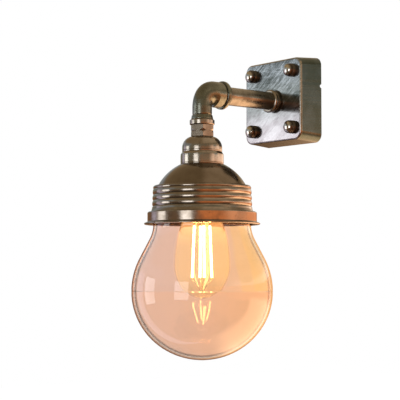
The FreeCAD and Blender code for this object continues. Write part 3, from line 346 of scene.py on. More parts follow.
def screw_thread(name, root, crest, start=0):
    """The ridge of the globe's right-hand thread, from its root to its crest radius."""
    corners = [(root, -1.2), (crest, -0.4), (crest, 0.4), (root, 1.2)]
    points = [Vector((x * MM, 0, z * MM)) for x, z in corners]
    piece = extruded_line(name, [*points, points[0]])
    bpy.ops.mesh.select_all(action="SELECT")
    bpy.ops.mesh.remove_doubles(threshold=WELD)
    bpy.ops.mesh.edge_face_add()
    bpy.ops.object.mode_set(mode="OBJECT")
    in_place(piece)
    apply(piece, "SCREW", angle=math.tau * THREAD_TURNS, screw_offset=THREAD_LEAD * THREAD_TURNS * MM,
          iterations=1, steps=96, render_steps=96, use_merge_vertices=True, axis="Z")
    piece.location = (0, DROP_Y, THREAD_Z * MM)
    piece.rotation_euler = (0, 0, math.radians(start))
    weld(in_place(piece))
    return smooth(piece)


def settle(piece, finish, slot, body, *nodes):
    """Finish a piece, hide the nodes that it replaces and put it on its body. Its slot is not used."""
    piece.data.materials.clear()
    piece.data.materials.append(finish)
    for polygon in piece.data.polygons:
        polygon.material_index = 0
    if nodes:
        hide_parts(*nodes)
    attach(piece, body)
    return piece


def dress(finish, *names):
    """Give CAD nodes that stay a finish of their own."""
    for name in names:
        mesh = NODES[name].data
        mesh.materials.clear()
        mesh.materials.append(finish)


# ---- materials -------------------------------------------------------------------------------
class Value:
    """A socket of a material's nodes. Arithmetic on it adds Math nodes."""

    def __init__(self, nodes, socket):
        self.nodes = nodes
        self.socket = socket

    def math(self, operation, *others):
        inputs = dict(enumerate((self, *others)))
        return self.nodes.add("ShaderNodeMath", {"operation": operation}, inputs)

    def __add__(self, other):
        return self.math("ADD", other)

    def __sub__(self, other):
        return self.math("SUBTRACT", other)

    def __mul__(self, other):
        return self.math("MULTIPLY", other)

    __radd__ = __add__
    __rmul__ = __mul__

    def __rsub__(self, other):
        inputs = {0: other, 1: self}
        return self.nodes.add("ShaderNodeMath", {"operation": "SUBTRACT"}, inputs)

    def between(self, low, high, to_low=0.0, to_high=1.0):
        """This value's way from low to high, eased and held at both ends."""
        return self.nodes.add("ShaderNodeMapRange", {"interpolation_type": "SMOOTHSTEP"},
                              {"Value": self, "From Min": low, "From Max": high,
                               "To Min": to_low, "To Max": to_high})


class Nodes:
    """The node tree of one material or of the world."""

    def __init__(self, tree):
        self.tree = tree
        tree.nodes.clear()

    def add(self, kind, settings=None, inputs=None, output=0):
        """Add a node: settings first, then the values or links of its sockets."""
        node = self.tree.nodes.new(kind)
        for name, value in (settings or {}).items():
            setattr(node, name, value)
        for name, value in (inputs or {}).items():
            if isinstance(value, Value):
                self.tree.links.new(value.socket, node.inputs[name])
            else:
                node.inputs[name].default_value = value
        return Value(self, node.outputs[output])

    def place(self, centre=(0, 0, 0), turn=(0, 0, 0), scale=(1, 1, 1)):
        """Object coordinates round a centre, turned and scaled."""
        spot = self.add("ShaderNodeTexCoord", output="Object")
        return self.add("ShaderNodeMapping", {"vector_type": "TEXTURE"},
                        {"Vector": spot, "Location": centre, "Rotation": turn,
                         "Scale": [1 / s for s in scale]})

    def noise(self, spot, scale, detail=4.0, roughness=0.55):
        return self.add("ShaderNodeTexNoise", None,
                        {"Vector": spot, "Scale": scale, "Detail": detail, "Roughness": roughness})

    def mix(self, factor, first, second):
        """Mix two colours, each a value or an RGB triple."""
        inputs = {0: factor}
        for key, value in ((6, first), (7, second)):
            inputs[key] = value if isinstance(value, Value) else (*value, 1)
        return self.add("ShaderNodeMix", {"data_type": "RGBA"}, inputs, 2)

    def bump(self, height, strength, distance):
        return self.add("ShaderNodeBump", None,
                        {"Height": height, "Strength": strength, "Distance": distance * MM})

    def split(self, vector):
        return [self.add("ShaderNodeSeparateXYZ", None, {"Vector": vector}, k) for k in range(3)]


def new_finish(name):
    finish = bpy.data.materials.new(name)
    finish.use_nodes = True
    return finish, Nodes(finish.node_tree)


def surface(nodes, **inputs):
    """Principled shader; base_color stands for the input Base Color, and so on."""
    named = {key.replace("_", " ").title(): value for key, value in inputs.items()}
    if "Ior" in named:
        named["IOR"] = named.pop("Ior")
    for key, value in named.items():
        if "Color" in key and not isinstance(value, Value):
            named[key] = (*value, 1)
    return nodes.add("ShaderNodeBsdfPrincipled", None, named)


def clear(nodes, colour):
    """A see-through shader of one colour that doesn't bend light."""
    return nodes.add("ShaderNodeBsdfTransparent", None, {"Color": (*colour, 1)})


def blend(nodes, factor, first, second):
    return nodes.add("ShaderNodeMixShader", None, {0: factor, 1: first, 2: second})


def shining(nodes, strength, colour=(1, 1, 1, 1)):
    """A surface that shines by itself; its colour is a value or four numbers."""
    return nodes.add("ShaderNodeEmission", None, {"Color": colour, "Strength": strength})


def shown(nodes, shader):
    node = nodes.tree.nodes.new("ShaderNodeOutputMaterial")
    nodes.tree.links.new(shader.socket, node.inputs["Surface"])


def patinated_metal(name, bright, dark, polish, grain=0.0, stain=0.35, groove=None):
    """Antique pewter, rubbed bright: soft stains, faint rub lines and a few pits.

    Inside the two radii of a groove, in millimetres, it darkens.
    """
    finish, nodes = new_finish(name)
    spot = nodes.place()
    blotch = nodes.noise(spot, 62, 5, 0.6)
    fine = nodes.noise(spot, 800, 3, 0.6)
    swell_slow = nodes.noise(spot, 38, 2, 0.5)
    rubbed = nodes.noise(nodes.place(scale=(24, 24, 380)), 3, 3, 0.6)
    pits = nodes.noise(spot, 240, 2, 0.5).between(0.27, 0.32)
    worn = blotch.between(0.36, 0.62)
    shade = worn * stain + (1 - stain)
    shade = shade + (fine - 0.5) * (0.12 + grain * 0.5) + (rubbed - 0.5) * 0.10
    if groove:
        low, high = groove
        x, y, _ = nodes.split(nodes.place(centre=(0, DROP_Y, 0)))
        reach = (x * x + y * y).math("SQRT")
        shade = shade * reach.between(low * MM, high * MM, 0.35, 1.0)
    tint = nodes.mix(shade, dark, bright)
    tint = nodes.mix((1 - pits) * 0.5, tint, dark)
    rough = polish + (fine - 0.5) * (0.06 + grain * 0.2) + (1 - worn) * 0.07 + (rubbed - 0.5) * 0.06
    height = fine * (0.03 + grain) + swell_slow * 0.9 + pits * 0.05 + rubbed * 0.05
    shader = surface(nodes, base_color=tint, metallic=1.0, roughness=rough,
                     normal=nodes.bump(height, 0.5, 0.12))
    shown(nodes, shader)
    return finish


def cap_metal():
    """Fixing caps: rubbed bright on the crown, and dark round the rim with grime: the dark rim is
    painted shade where the cap meets its washer.
    """
    rubbed = (0.47, 0.46, 0.42)
    rim_painted_shade = (0.055, 0.048, 0.040)
    dust = (0.11, 0.10, 0.085)
    finish, nodes = new_finish("fixing_cap_metal")
    spot = nodes.place()
    x, _, z = nodes.split(spot)
    aside = x.math("ABSOLUTE") - CAP_AT * MM
    above = z.math("ABSOLUTE") - CAP_AT * MM
    reach = (aside * aside + above * above).math("SQRT")
    grime = nodes.noise(spot, 420, 3, 0.6)
    # Painted shade: the cap darkens towards its rim, where it meets its washer.
    crown = 1 - (reach + (grime - 0.5) * (1.2 * MM)).between(5.0 * MM, 7.2 * MM)
    tint = nodes.mix(crown, rim_painted_shade, rubbed)
    tint = nodes.mix((1 - grime.between(0.34, 0.46)) * 0.5, tint, dust)
    rough = 0.15 + (1 - crown) * 0.2 + (grime - 0.5) * 0.08
    shader = surface(nodes, base_color=tint, metallic=1.0, roughness=rough,
                     normal=nodes.bump(grime, 0.3, 0.10))
    shown(nodes, shader)
    return finish


def brushed(nodes, degrees, scale, *noise):
    """Noise stretched into strokes that lean by some degrees on the box's face."""
    return nodes.noise(nodes.place(turn=(0, math.radians(degrees), 0), scale=scale), *noise)


def box_metal():
    """Wall box: a pale brushed front with crossing strokes, dark green-grey sides, worn edges. Its
    face is painted darker from the collar up and paler and bluer at the top: painted shade and
    reflection.
    """
    low_groove = (0.19, 0.175, 0.185)
    # Painted shade and reflection: the face's tones from the collar up and at its top.
    shaded_high_groove = (0.055, 0.066, 0.060)
    shaded_high_pale = (0.30, 0.325, 0.33)
    top_painted_reflection = (0.45, 0.49, 0.53)
    dark_side = (0.062, 0.080, 0.068)
    worn_edge = (0.40, 0.35, 0.28)
    finish, nodes = new_finish("wall_box_brushed")
    spot = nodes.place()
    x, y, z = nodes.split(spot)
    depth = sizes().box_depth
    front = (-1 * y).between(depth - 1.6 * MM, depth - 0.2 * MM)
    strokes = brushed(nodes, -36, (9, 1, 120), 5, 5, 0.68)
    level = brushed(nodes, 4, (9, 1, 150), 5, 5, 0.66)
    broad = brushed(nodes, -30, (24, 10, 44), 1, 4, 0.6)
    fine = nodes.noise(spot, 500, 3, 0.6)
    # Painted shade and reflection: from just below the collar up the face is painted darker, and
    # towards the top its pale strokes are painted paler and bluer.
    shaded_upper = z.between(-34 * MM, 4 * MM)
    top = z.between(8 * MM, 36 * MM)
    cut = strokes.between(0.40, 0.60) * 0.45 + level.between(0.40, 0.60) * 0.25 * shaded_upper
    cut = cut + broad.between(0.38, 0.60) * 0.45
    face_dark = nodes.mix(shaded_upper, low_groove, shaded_high_groove)
    face_pale = nodes.mix(shaded_upper, colours().box_face, nodes.mix(top, shaded_high_pale, top_painted_reflection))
    face = nodes.mix(cut, face_dark, face_pale)
    cloud = nodes.noise(spot, 55, 4, 0.6)
    side = nodes.mix(cloud.between(0.35, 0.65), dark_side, colours().box_side)
    tint = nodes.mix(front, side, face)
    half = sizes().box_front / 2
    rim_x = x.math("ABSOLUTE").between(half - 2.0 * MM, half - 0.6 * MM)
    rim_z = z.math("ABSOLUTE").between(half - 2.0 * MM, half - 0.6 * MM)
    near_front = (-1 * y).between(depth - 3.4 * MM, depth - 1.4 * MM)
    rub = rim_x.math("MAXIMUM", rim_z) * near_front * broad.between(0.35, 0.6, 0.6, 1.0)
    tint = nodes.mix(rub * 0.7, tint, worn_edge)
    rough = 0.17 + (strokes - 0.5) * 0.25 + (1 - front) * 0.08 + (fine - 0.5) * 0.08
    height = (strokes * 0.5 + level * 0.3) * front + fine * 0.12 + broad * 0.6
    shader = surface(nodes, base_color=tint, metallic=1.0, roughness=rough,
                     normal=nodes.bump(height, 0.30, 0.12))
    shown(nodes, shader)
    return finish


def plain_metal(name, bright, dark, polish):
    """Plated or bright metal of the inner pieces, slightly mottled and scratched."""
    finish, nodes = new_finish(name)
    spot = nodes.place()
    blotch = nodes.noise(spot, 180, 3, 0.5)
    fine = nodes.noise(spot, 900, 2, 0.5)
    tint = nodes.mix(blotch.between(0.3, 0.7), dark, bright)
    shader = surface(nodes, base_color=tint, metallic=1.0, roughness=polish + (fine - 0.5) * 0.2,
                     normal=nodes.bump(fine, 0.2, 0.05))
    shown(nodes, shader)
    return finish


def plain_body(name, tone, other, rough):
    """Moulded, fired or rubbery material with faint clouding and grain."""
    finish, nodes = new_finish(name)
    spot = nodes.place()
    cloud = nodes.noise(spot, 78, 4, 0.55)
    grain = nodes.noise(spot, 780, 2, 0.5)
    tint = nodes.mix(cloud.between(0.35, 0.65), tone, other)
    shader = surface(nodes, base_color=tint, roughness=rough + (grain - 0.5) * 0.15,
                     normal=nodes.bump(grain, 0.15, 0.05))
    shown(nodes, shader)
    return finish


def earth_insulation():
    """Green insulation with a yellow stripe along the wire."""
    green = (0.06, 0.26, 0.05)
    yellow = (0.75, 0.62, 0.05)
    finish, nodes = new_finish("earth_insulation")
    x = nodes.split(nodes.place(centre=(0, DROP_Y, 0)))[0]
    stripe = (x * (1 / MM)).math("ABSOLUTE").between(0.35, 0.5)
    grain = nodes.noise(nodes.place(), 900, 2, 0.5)
    tint = nodes.mix(stripe, yellow, green)
    shader = surface(nodes, base_color=tint, roughness=0.42 + (grain - 0.5) * 0.15,
                     normal=nodes.bump(grain, 0.12, 0.04))
    shown(nodes, shader)
    return finish


def let_lamps_through(nodes, shader):
    """Glass that bends light but lets the light of lamps pass straight, slightly warmer."""
    warmth = (0.96, 0.86, 0.74)
    lamp_ray = nodes.add("ShaderNodeLightPath", output="Is Shadow Ray")
    shown(nodes, blend(nodes, lamp_ray, shader, clear(nodes, warmth)))


def globe_glass():
    """Pressed glass, greyer on one side and amber on the other, with waves and a slanting flaw; the
    amber is the lamp's glow, painted into the glass.

    Towards its edge it turns to a wall of flat colour, and then to a darker, patchy skin: painted
    shade at its outline, amber on the glowing side.
    """
    # The amber tones paint the lamp's glow into the glass; the dark skin tone is painted shade at the
    # outline.
    amber = (0.985, 0.715, 0.50)
    low_grey = (0.93, 0.69, 0.55)
    low_painted_glow_amber = (0.95, 0.64, 0.43)
    wall_grey = (0.765, 0.59, 0.48)
    wall_painted_glow_amber = (0.99, 0.73, 0.46)
    skin_painted_shade = (0.46, 0.29, 0.20)
    skin_painted_glow_amber = (0.97, 0.68, 0.40)
    finish, nodes = new_finish("globe_glass")
    x, y, z = nodes.split(nodes.place(centre=(0, DROP_Y, EQUATOR_Z * MM)))
    # The warmer side is the one painted with the lamp's glow.
    across = x * 0.772 + y * 0.635          # from the drop axis towards the warmer side
    streak = nodes.noise(nodes.place(scale=(60, 60, 9)), 1, 3, 0.6)
    cloud = nodes.noise(nodes.place(), 22, 3, 0.5)
    wander = (streak - 0.5) * (20 * MM) + (cloud - 0.5) * (30 * MM)
    # Painted glow: the glass turns amber towards one side, and more so past the flaw.
    warm = (across + wander).between(-45 * MM, 85 * MM)
    flaw = across + z * 0.24 + (streak - 0.5) * (6 * MM) - 55 * MM
    above = z.between(-1 * MM, 1 * MM)
    beyond = flaw.between(-0.8 * MM, 0.8 * MM) * above
    tint = nodes.mix(warm, colours().globe_left, amber)
    tint = nodes.mix(beyond, tint, colours().globe_right_painted_glow)
    tint = nodes.mix((1 - above) * 0.5, tint, nodes.mix(warm, low_grey, low_painted_glow_amber))
    ripple = nodes.noise(nodes.place(), 34, 2, 0.5) * 0.8 + streak * 0.3
    ripple = ripple + (1 - flaw.math("ABSOLUTE").between(0.0, 1.2 * MM)) * above * 0.25
    shader = surface(nodes, base_color=tint, roughness=0.0, ior=1.46, transmission_weight=1.0,
                     normal=nodes.bump(ripple, 0.10, 0.6))
    # Towards the outline the glass gives way to flat colour and then to a dark, patchy skin: painted
    # shade, amber on the glowing side.
    edge = nodes.add("ShaderNodeLayerWeight", None, {"Blend": 0.5}, "Facing")
    patch = nodes.noise(nodes.place(), 26, 3, 0.6).between(0.36, 0.56)
    side = across.between(-30 * MM, 40 * MM)
    light = side * (1 - patch * (1 - z.between(-45 * MM, -20 * MM)) * 0.8)
    wall = blend(nodes, side, clear(nodes, wall_grey), clear(nodes, wall_painted_glow_amber))
    skin = blend(nodes, light, clear(nodes, skin_painted_shade), clear(nodes, skin_painted_glow_amber))
    wall = blend(nodes, edge.between(0.77, 0.88), wall, skin)
    let_lamps_through(nodes, blend(nodes, edge.between(0.71, 0.82) * 0.9, shader, wall))
    return finish


def bulb_glass():
    """Thin blown glass with a painted glow: it shines warm by itself near its bottom and near the tops
    of the filaments.
    """
    rim = (0.96, 0.74, 0.48)
    bulb_low_painted_glow = (1.0, 0.72, 0.36)
    bulb_high_painted_glow = (4.0, 2.2, 0.9)
    finish, nodes = new_finish("bulb_glass")
    edge = nodes.add("ShaderNodeLayerWeight", None, {"Blend": 0.4}, "Facing")
    cloud = nodes.noise(nodes.place(), 60, 3, 0.5)
    tint = nodes.mix(edge.between(0.55, 0.98), colours().bulb_tint, rim)
    z = nodes.split(nodes.place())[2]
    # Painted glow: the glass itself shines low down and near the filament tops.
    lit = z.between(-232 * MM, -205 * MM) * (0.8 + cloud * 0.4)
    glow = nodes.mix(lit, (0, 0, 0), bulb_low_painted_glow)
    glow = nodes.mix(z.between(-178 * MM, -152 * MM), glow, bulb_high_painted_glow)
    shader = surface(nodes, base_color=tint, roughness=0.0, ior=1.45, transmission_weight=1.0,
                     emission_color=glow, emission_strength=0.05, normal=nodes.bump(cloud, 0.05, 0.3))
    let_lamps_through(nodes, shader)
    return finish


def stem_glass():
    """Clear, slightly wavy glass of the bulb's stem."""
    finish, nodes = new_finish("stem_glass")
    cloud = nodes.noise(nodes.place(), 200, 2, 0.5)
    shader = surface(nodes, base_color=(0.97, 0.93, 0.86), roughness=0.02, ior=1.5,
                     transmission_weight=1.0, normal=nodes.bump(cloud, 0.08, 0.2))
    let_lamps_through(nodes, shader)
    return finish


def filament_glow():
    """Phosphor bars: yellow-white over their length, amber at their ends."""
    phosphor = (0.9, 0.72, 0.3)
    amber_end = (0.9, 0.42, 0.10)
    pale_grain = (1.0, 0.85, 0.55)
    finish, nodes = new_finish("filament_glow")
    grain = nodes.noise(nodes.place(), 1500, 2, 0.5)
    z = nodes.split(nodes.place())[2]
    middle = z.between(-213.5 * MM, -210.5 * MM) * (1 - z.between(-153.0 * MM, -150.5 * MM))
    glow = nodes.mix(middle, amber_end, colours().glow)
    glow = nodes.mix(grain.between(0.3, 0.7) * 0.15, glow, pale_grain)
    shader = surface(nodes, base_color=phosphor, roughness=0.5, emission_color=glow,
                     emission_strength=46.0)
    shown(nodes, shader)
    return finish


# ---- pieces ----------------------------------------------------------------------------------
def model_wall_box():
    """Tapered box with rounded edges, hollowed from the back, with its posts and holes."""
    size = sizes()
    half = size.box_front / 2
    depth = size.box_depth
    slope = math.tan(math.radians(4))
    back_half = half + depth * slope

    def goes_back(edge):
        first, second = ends_of(box, edge)
        return abs(first.y - second.y) > depth / 2

    def is_in_front(edge):
        return all(end.y < -depth + MM / 10 for end in ends_of(box, edge))

    deselect()
    bpy.ops.mesh.primitive_cube_add(size=1, location=(0, -depth / 2, 0))
    box = bpy.context.object
    box.name = "wall_box"
    box.scale = (size.box_front, depth, size.box_front)
    in_place(box)
    pick(box, lambda v: v.co.y > -MM)
    bpy.ops.transform.resize(value=(back_half / half, 1, back_half / half), center_override=(0, 0, 0))
    pick(box, goes_back, "edges", "EDGE")
    bpy.ops.mesh.bevel(offset=size.box_corner, segments=12, affect="EDGES")
    pick(box, is_in_front, "edges", "EDGE")
    bpy.ops.mesh.bevel(offset=size.box_edge, segments=6, affect="EDGES")
    pick(box, lambda f: f.normal.y > 0.9, "polygons", "FACE")
    bpy.ops.mesh.inset(thickness=size.box_wall)
    hollow = depth - size.box_wall
    inner_back = back_half - size.box_wall
    ratio = (inner_back - hollow * slope) / inner_back
    bpy.ops.mesh.extrude_region_move(TRANSFORM_OT_translate={"value": (0, -hollow, 0)})
    bpy.ops.transform.resize(value=(ratio, 1, ratio), center_override=(0, -hollow, 0))
    bpy.ops.object.mode_set(mode="OBJECT")
    earth_z = 30
    block_z = -31
    posts = [cylinder(7, (x, -16, z), 26) for x, z in FIXING_SPOTS]
    earth_post = cylinder(4.5, (0, -22.5, earth_z), 13)
    block_post = cuboid((-11, -29, block_z - 7), (11, -25, block_z + 7))
    combine(box, join([*posts, earth_post, block_post]), "UNION")
    screw_holes = [cylinder(2.75, (x, -16, z), 40) for x, z in FIXING_SPOTS]
    arm_hole = cylinder(size.pipe_radius / MM + SEAT, (0, -30, 0), 10, vertices=64)
    earth_hole = cylinder(2.05, (0, -21, earth_z), 14)
    block_hole = cylinder(1.65, (0, -25, block_z), 6)
    cable_notch = cylinder(2.2, (47.75, 0, 15.7), 8, "X")
    holes = [*screw_holes, arm_hole, earth_hole, block_hole, cable_notch]
    combine(box, join(holes), "DIFFERENCE")
    return smooth(box)


def model_fixings():
    """Deep washer and domed cap, turned once each and set at the four corners."""
    front = front_y()
    groove = front - 2.5
    top = front - 4.5
    washer = turned_on_arm("washer", [
        (2.6, front), (7.8, front, 0.25), (7.8, groove + 0.5, 0.3), (7.35, groove, 0.2),
        (7.8, groove - 0.5, 0.3), (7.8, top, 0.9), (4.7, top), (2.6, front - 2.2)])
    dome = oval((0, front - 5.3), 7.6, 5.2, 0, -90, 16)
    cap = turned_on_arm("cap", [(0, front - 2.9), (1.4, front - 2.9), (1.4, top), (6.9, top),
                                (7.55, front - 4.9), *dome])
    sets = []
    for piece, name in ((washer, "fixing_washers"), (cap, "fixing_caps")):
        copies = [copied(piece, (x * MM, 0, z * MM)) for x, z in FIXING_SPOTS]
        bpy.data.objects.remove(piece)
        whole = join(copies)
        whole.name = name
        sets.append(whole)
    return sets


def model_arm():
    """Pipe with a cut thread at its back end, and the beaded collar against the box."""
    outer = sizes().pipe_radius / MM
    bore = 8
    back = -21.5
    front = front_y()
    pitch = 0.9
    thread = []
    for k in range(10):
        y = back - 0.5 - pitch * k
        thread += [(outer, y), (outer - 0.35, y - pitch / 2)]
    pipe = turned_on_arm("pipe_arm", [(bore, back), (outer - 0.5, back), *thread, (outer, front),
                                      (outer, PIPE_END, 0.3), (bore, PIPE_END)], steps=72)
    hole = outer + SEAT
    collar = turned_on_arm("arm_collar_bead", [
        (hole, front), (13.0, front, 0.2), (13.0, front - 1.2, 0.4), (12.2, front - 1.6),
        (12.2, front - 2.6, 0.2), (13.2, front - 2.9, 0.3), *arc((11.9, front - 4.9), 2.0, 60, -60, 8),
        (12.3, front - 7.0, 0.2), (hole, front - 7.0)], steps=72)
    return pipe, collar


def on_bend(degrees, path):
    """A point (y, z) round the elbow's pivot: 0 degrees is on the arm's side, 90 on the drop's."""
    angle = math.radians(degrees)
    pivot_y = DROP + ELBOW_BEND
    return pivot_y - path * math.sin(angle), -ELBOW_BEND + path * math.cos(angle)


def ring_stations():
    """Rings along the elbow, out and back: socket, beaded ring, bend, ribbed rim and passage."""
    socket = 10.7
    body = 15.0
    drop_body = 11.3
    passage = 5.5
    mouth = -108.9
    seat_z = -17.8
    stations = [Ring(PIPE_END, 0, 0, socket), Ring(mouth, 0, 0, socket), Ring(mouth, 0, 0, 15.4)]
    for back, radius in ((0.4, 15.9), (1.3, 16.45), (2.75, 16.6), (4.2, 16.45), (5.1, 15.9),
                         (5.5, 15.4), (5.7, 13.9), (6.1, 13.85), (6.6, 14.7), (8.1, body),
                         (11.1, body), (14.1, body)):
        stations.append(Ring(mouth - back, 0, 0, radius))
    for k in range(17):
        share = k / 16
        ease = (1 - math.cos(math.pi * share)) / 2
        out = 1.3 * math.sin(math.pi * share)
        radius = body - (body - drop_body) * ease - out
        stations.append(Ring(*on_bend(90 * share, ELBOW_BEND + out), 90 * share, radius))
    for z, radius in ((-19.5, drop_body), (-24.2, drop_body), (-24.9, 11.0), (-25.4, 10.8),
                      (-25.6, 11.6), (-26.1, 12.0), (-28.0, 12.35), (-29.4, 12.6), (-30.0, 12.6),
                      (-30.3, 12.2), (-30.3, NIPPLE_HOLE), (seat_z, NIPPLE_HOLE), (seat_z, passage)):
        stations.append(Ring(DROP, z, 90, radius))
    for k in range(8, -1, -1):
        stations.append(Ring(*on_bend(90 * k / 8, ELBOW_BEND), 90 * k / 8, passage))
    return [*stations, Ring(PIPE_END, 0, 0, passage), stations[0]]


def model_elbow():
    """Cast elbow: a ring of vertices extruded, moved, turned and scaled from station to station."""
    stations = ring_stations()
    first = stations[0]
    deselect()
    bpy.ops.mesh.primitive_circle_add(vertices=56, radius=first.radius * MM, fill_type="NOTHING",
                                      location=(0, first.y * MM, first.z * MM),
                                      rotation=(math.pi / 2, 0, 0))
    elbow = bpy.context.object
    elbow.name = "cast_elbow"
    in_place(elbow)
    edit(elbow)
    bpy.ops.mesh.select_all(action="SELECT")
    for before, after in zip(stations, stations[1:]):
        centre = Vector((0, after.y, after.z)) * MM
        shift = centre - Vector((0, before.y, before.z)) * MM
        bpy.ops.mesh.extrude_region_move(TRANSFORM_OT_translate={"value": shift})
        if after.turn != before.turn:
            bpy.ops.transform.rotate(value=math.radians(before.turn - after.turn), orient_axis="X",
                                     center_override=centre)
        if after.radius != before.radius:
            ratio = after.radius / before.radius
            bpy.ops.transform.resize(value=(ratio, ratio, ratio), center_override=centre)
    weld(elbow)
    apply(elbow, "SUBSURF", levels=2, render_levels=2, subdivision_type="SIMPLE")
    skin = bpy.data.textures.new("cast_skin", "CLOUDS")
    skin.noise_scale = 1.7 * MM
    skin.noise_depth = 3
    apply(elbow, "DISPLACE", texture=skin, strength=sizes().cast_grain, mid_level=0.85)
    return smooth(elbow, math.radians(50))


def model_locknut(name, node, meets_below):
    """Hexagon cylinder whose corners are turned off deeply where the two nuts meet."""
    low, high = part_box(node)
    corner = sizes().nut_flats / 2 / math.cos(math.pi / 6)
    lean = math.radians(-5.5)
    middle = (low.z + high.z) / 2
    half = (high.z - low.z) / 2
    deselect()
    bpy.ops.mesh.primitive_cylinder_add(vertices=6, radius=corner, depth=2 * half,
                                        location=(0, DROP_Y, middle), rotation=(0, 0, lean))
    nut = bpy.context.object
    nut.name = name
    in_place(nut)
    reach = corner / MM + 0.6
    above = middle / MM + half / MM
    below = middle / MM - half / MM
    deep = (12.5, 3.3)          # radius at which a cut starts, and its height at the corners
    light = (14.0, 0.5)
    below_from, below_cut = deep if meets_below else light
    above_from, above_cut = light if meets_below else deep
    form = turned("form", [(NIPPLE_HOLE, below), (below_from, below), (reach, below + below_cut),
                           (reach, above - above_cut), (above_from, above), (NIPPLE_HOLE, above)])
    combine(nut, form, "INTERSECT")
    apply(nut, "BEVEL", width=0.22 * MM, segments=2, limit_method="ANGLE",
          angle_limit=math.radians(25), use_clamp_overlap=True)
    return smooth(nut)


def model_drop_collar():
    """Rounded ring between the elbow's rim and the upper locknut."""
    top = -30.3
    foot = -37.2
    return turned("elbow_collar", [(NIPPLE_HOLE, foot), (12.6, foot), (14.25, -36.3, 1.0),
                                   (14.3, -31.4, 1.0), (12.7, top), (NIPPLE_HOLE, top)], steps=72)


def model_holder_cap():
    """Dome between two quarters of an oval, with a fine groove above its edge."""
    centre = (10.9, -63.2)
    across = 12.0
    depth = 13.0
    wall = 2.0
    hole = NIPPLE_HOLE + SEAT
    top = centre[1] + depth
    edge = -67.85
    outer = oval(centre, across, depth, 90, 0, 18)
    inner = oval(centre, across - wall, depth - wall, 0, 90, 12)
    return turned("holder_dome", [
        (hole, top), *outer, (22.9, -65.9), (22.6, -66.3, 0.1), (22.9, -66.7), (22.9, edge, 0.3),
        (20.9, edge), *inner, (hole, top - wall)])


def model_holder_ring():
    """Ring that steps out below the cap, with a fine groove above its foot."""
    return turned("holder_collar", [
        (HOLDER_HOLE, -67.9), (22.7, -67.95, 0.3), (23.2, -68.6, 0.3), (24.5, -70.6, 0.8),
        (RING_RADIUS, -73.0), (RING_RADIUS, -80.2, 0.3), (24.4, -80.6, 0.2),
        (RING_RADIUS, -81.0, 0.2), (RING_RADIUS, RING_FOOT, 0.3), (HOLDER_HOLE, RING_FOOT)])


def swell(groove, crest, steps):
    """Points of the arc from a rib's groove to its crest, upright at the crest."""
    out = crest[0] - groove[0]
    along = groove[1] - crest[1]
    radius = (out ** 2 + along ** 2) / (2 * out)
    turn = math.degrees(math.atan2(along, radius - out))
    return arc((crest[0] - radius, crest[1]), radius, turn, 0, steps)


def model_gallery():
    """Dome, rounded bead, ribs, flared foot, band and spread lip, with its inner side."""
    wall = 2.6
    sphere = 57.0
    rise = 26.8                 # of the dome's foot above the middle of its sphere
    sphere_z = RING_FOOT - math.sqrt(sphere ** 2 - RING_RADIUS ** 2)
    base_z = sphere_z + rise
    inner = sphere - wall
    top = math.degrees(math.acos(RING_RADIUS / sphere))
    base = math.degrees(math.asin(rise / sphere))
    inner_top = math.degrees(math.asin((RING_FOOT - wall - sphere_z) / inner))
    inner_base = math.degrees(math.asin((rise - wall) / inner))
    outer_curve = arc((0, sphere_z), sphere, top, base, 26)
    inner_curve = arc((0, sphere_z), inner, inner_base, inner_top, 20)
    profile = [(HOLDER_HOLE, RING_FOOT), *outer_curve, (51.2, base_z + 0.1), (52.6, base_z)]
    profile += arc((53.5, base_z - 2.4), 2.4, 75, 0, 7)
    profile += [(55.85, base_z - 3.1), (55.45, base_z - 3.8, 0.25)]
    groove = (55.5, base_z - 3.8)
    for k in range(3):
        crest = (56.4 + 0.3 * k, groove[1] - 4.1)
        profile += swell(groove, crest, 7)[1:]
        groove = (crest[0] - 0.9, groove[1] - 6.6)
        profile += swell(groove, crest, 4)[::-1][1:]
    foot_z = groove[1]
    band_z = foot_z - 6.3
    lip_z = band_z - 11.4
    under_z = lip_z - 3.0
    shelf_z = band_z - 2.4
    mouth = 58.4
    profile += [(57.0, foot_z - 1.2, 0.6), (57.35, foot_z - 3.4, 3.0), (mouth, band_z, 0.2)]
    profile += [(60.4, band_z), *arc((60.7, band_z - 1.6), 1.6, 85, 0, 7)]
    profile += [(62.3, lip_z + 0.1, 0.25), (65.2, lip_z - 1.1)]
    profile += arc((65.2, lip_z - 2.1), 0.9, 80, -90, 9)
    profile += [(mouth, under_z, 0.4), (mouth, shelf_z), (GALLERY_BORE, shelf_z, 0.3),
                (GALLERY_BORE, base_z - wall), *inner_curve, (HOLDER_HOLE, RING_FOOT - wall)]
    gallery = turned("ribbed_gallery", profile, steps=160)
    thread = screw_thread("gallery_thread", GALLERY_BORE + 0.4, 52.0, start=126)
    return gallery, thread


def globe_points(inset):
    """Half of the globe's outline, from its bottom up to its upright neck."""
    lean = 27.5                 # degrees at which the shoulder runs straight up to the neck's hollow
    across = GLOBE_RADIUS - inset
    depth = 77.7 - inset
    hollow = 37.0 + inset
    neck = GLOBE_NECK - inset
    points = oval((0, EQUATOR_Z), across, depth, -90, 0, BOWL_STEPS)
    points += arc((0, EQUATOR_Z), across, 2.5, lean, 10)
    slope = math.radians(lean)
    start_r = neck + hollow * (1 - math.cos(slope))
    start_z = EQUATOR_Z + across * math.sin(slope)
    start_z += (across * math.cos(slope) - start_r) / math.tan(slope)
    centre = (neck + hollow, start_z + hollow * math.sin(slope))
    points += arc(centre, hollow, 180 + lean, 180, 12)
    return points


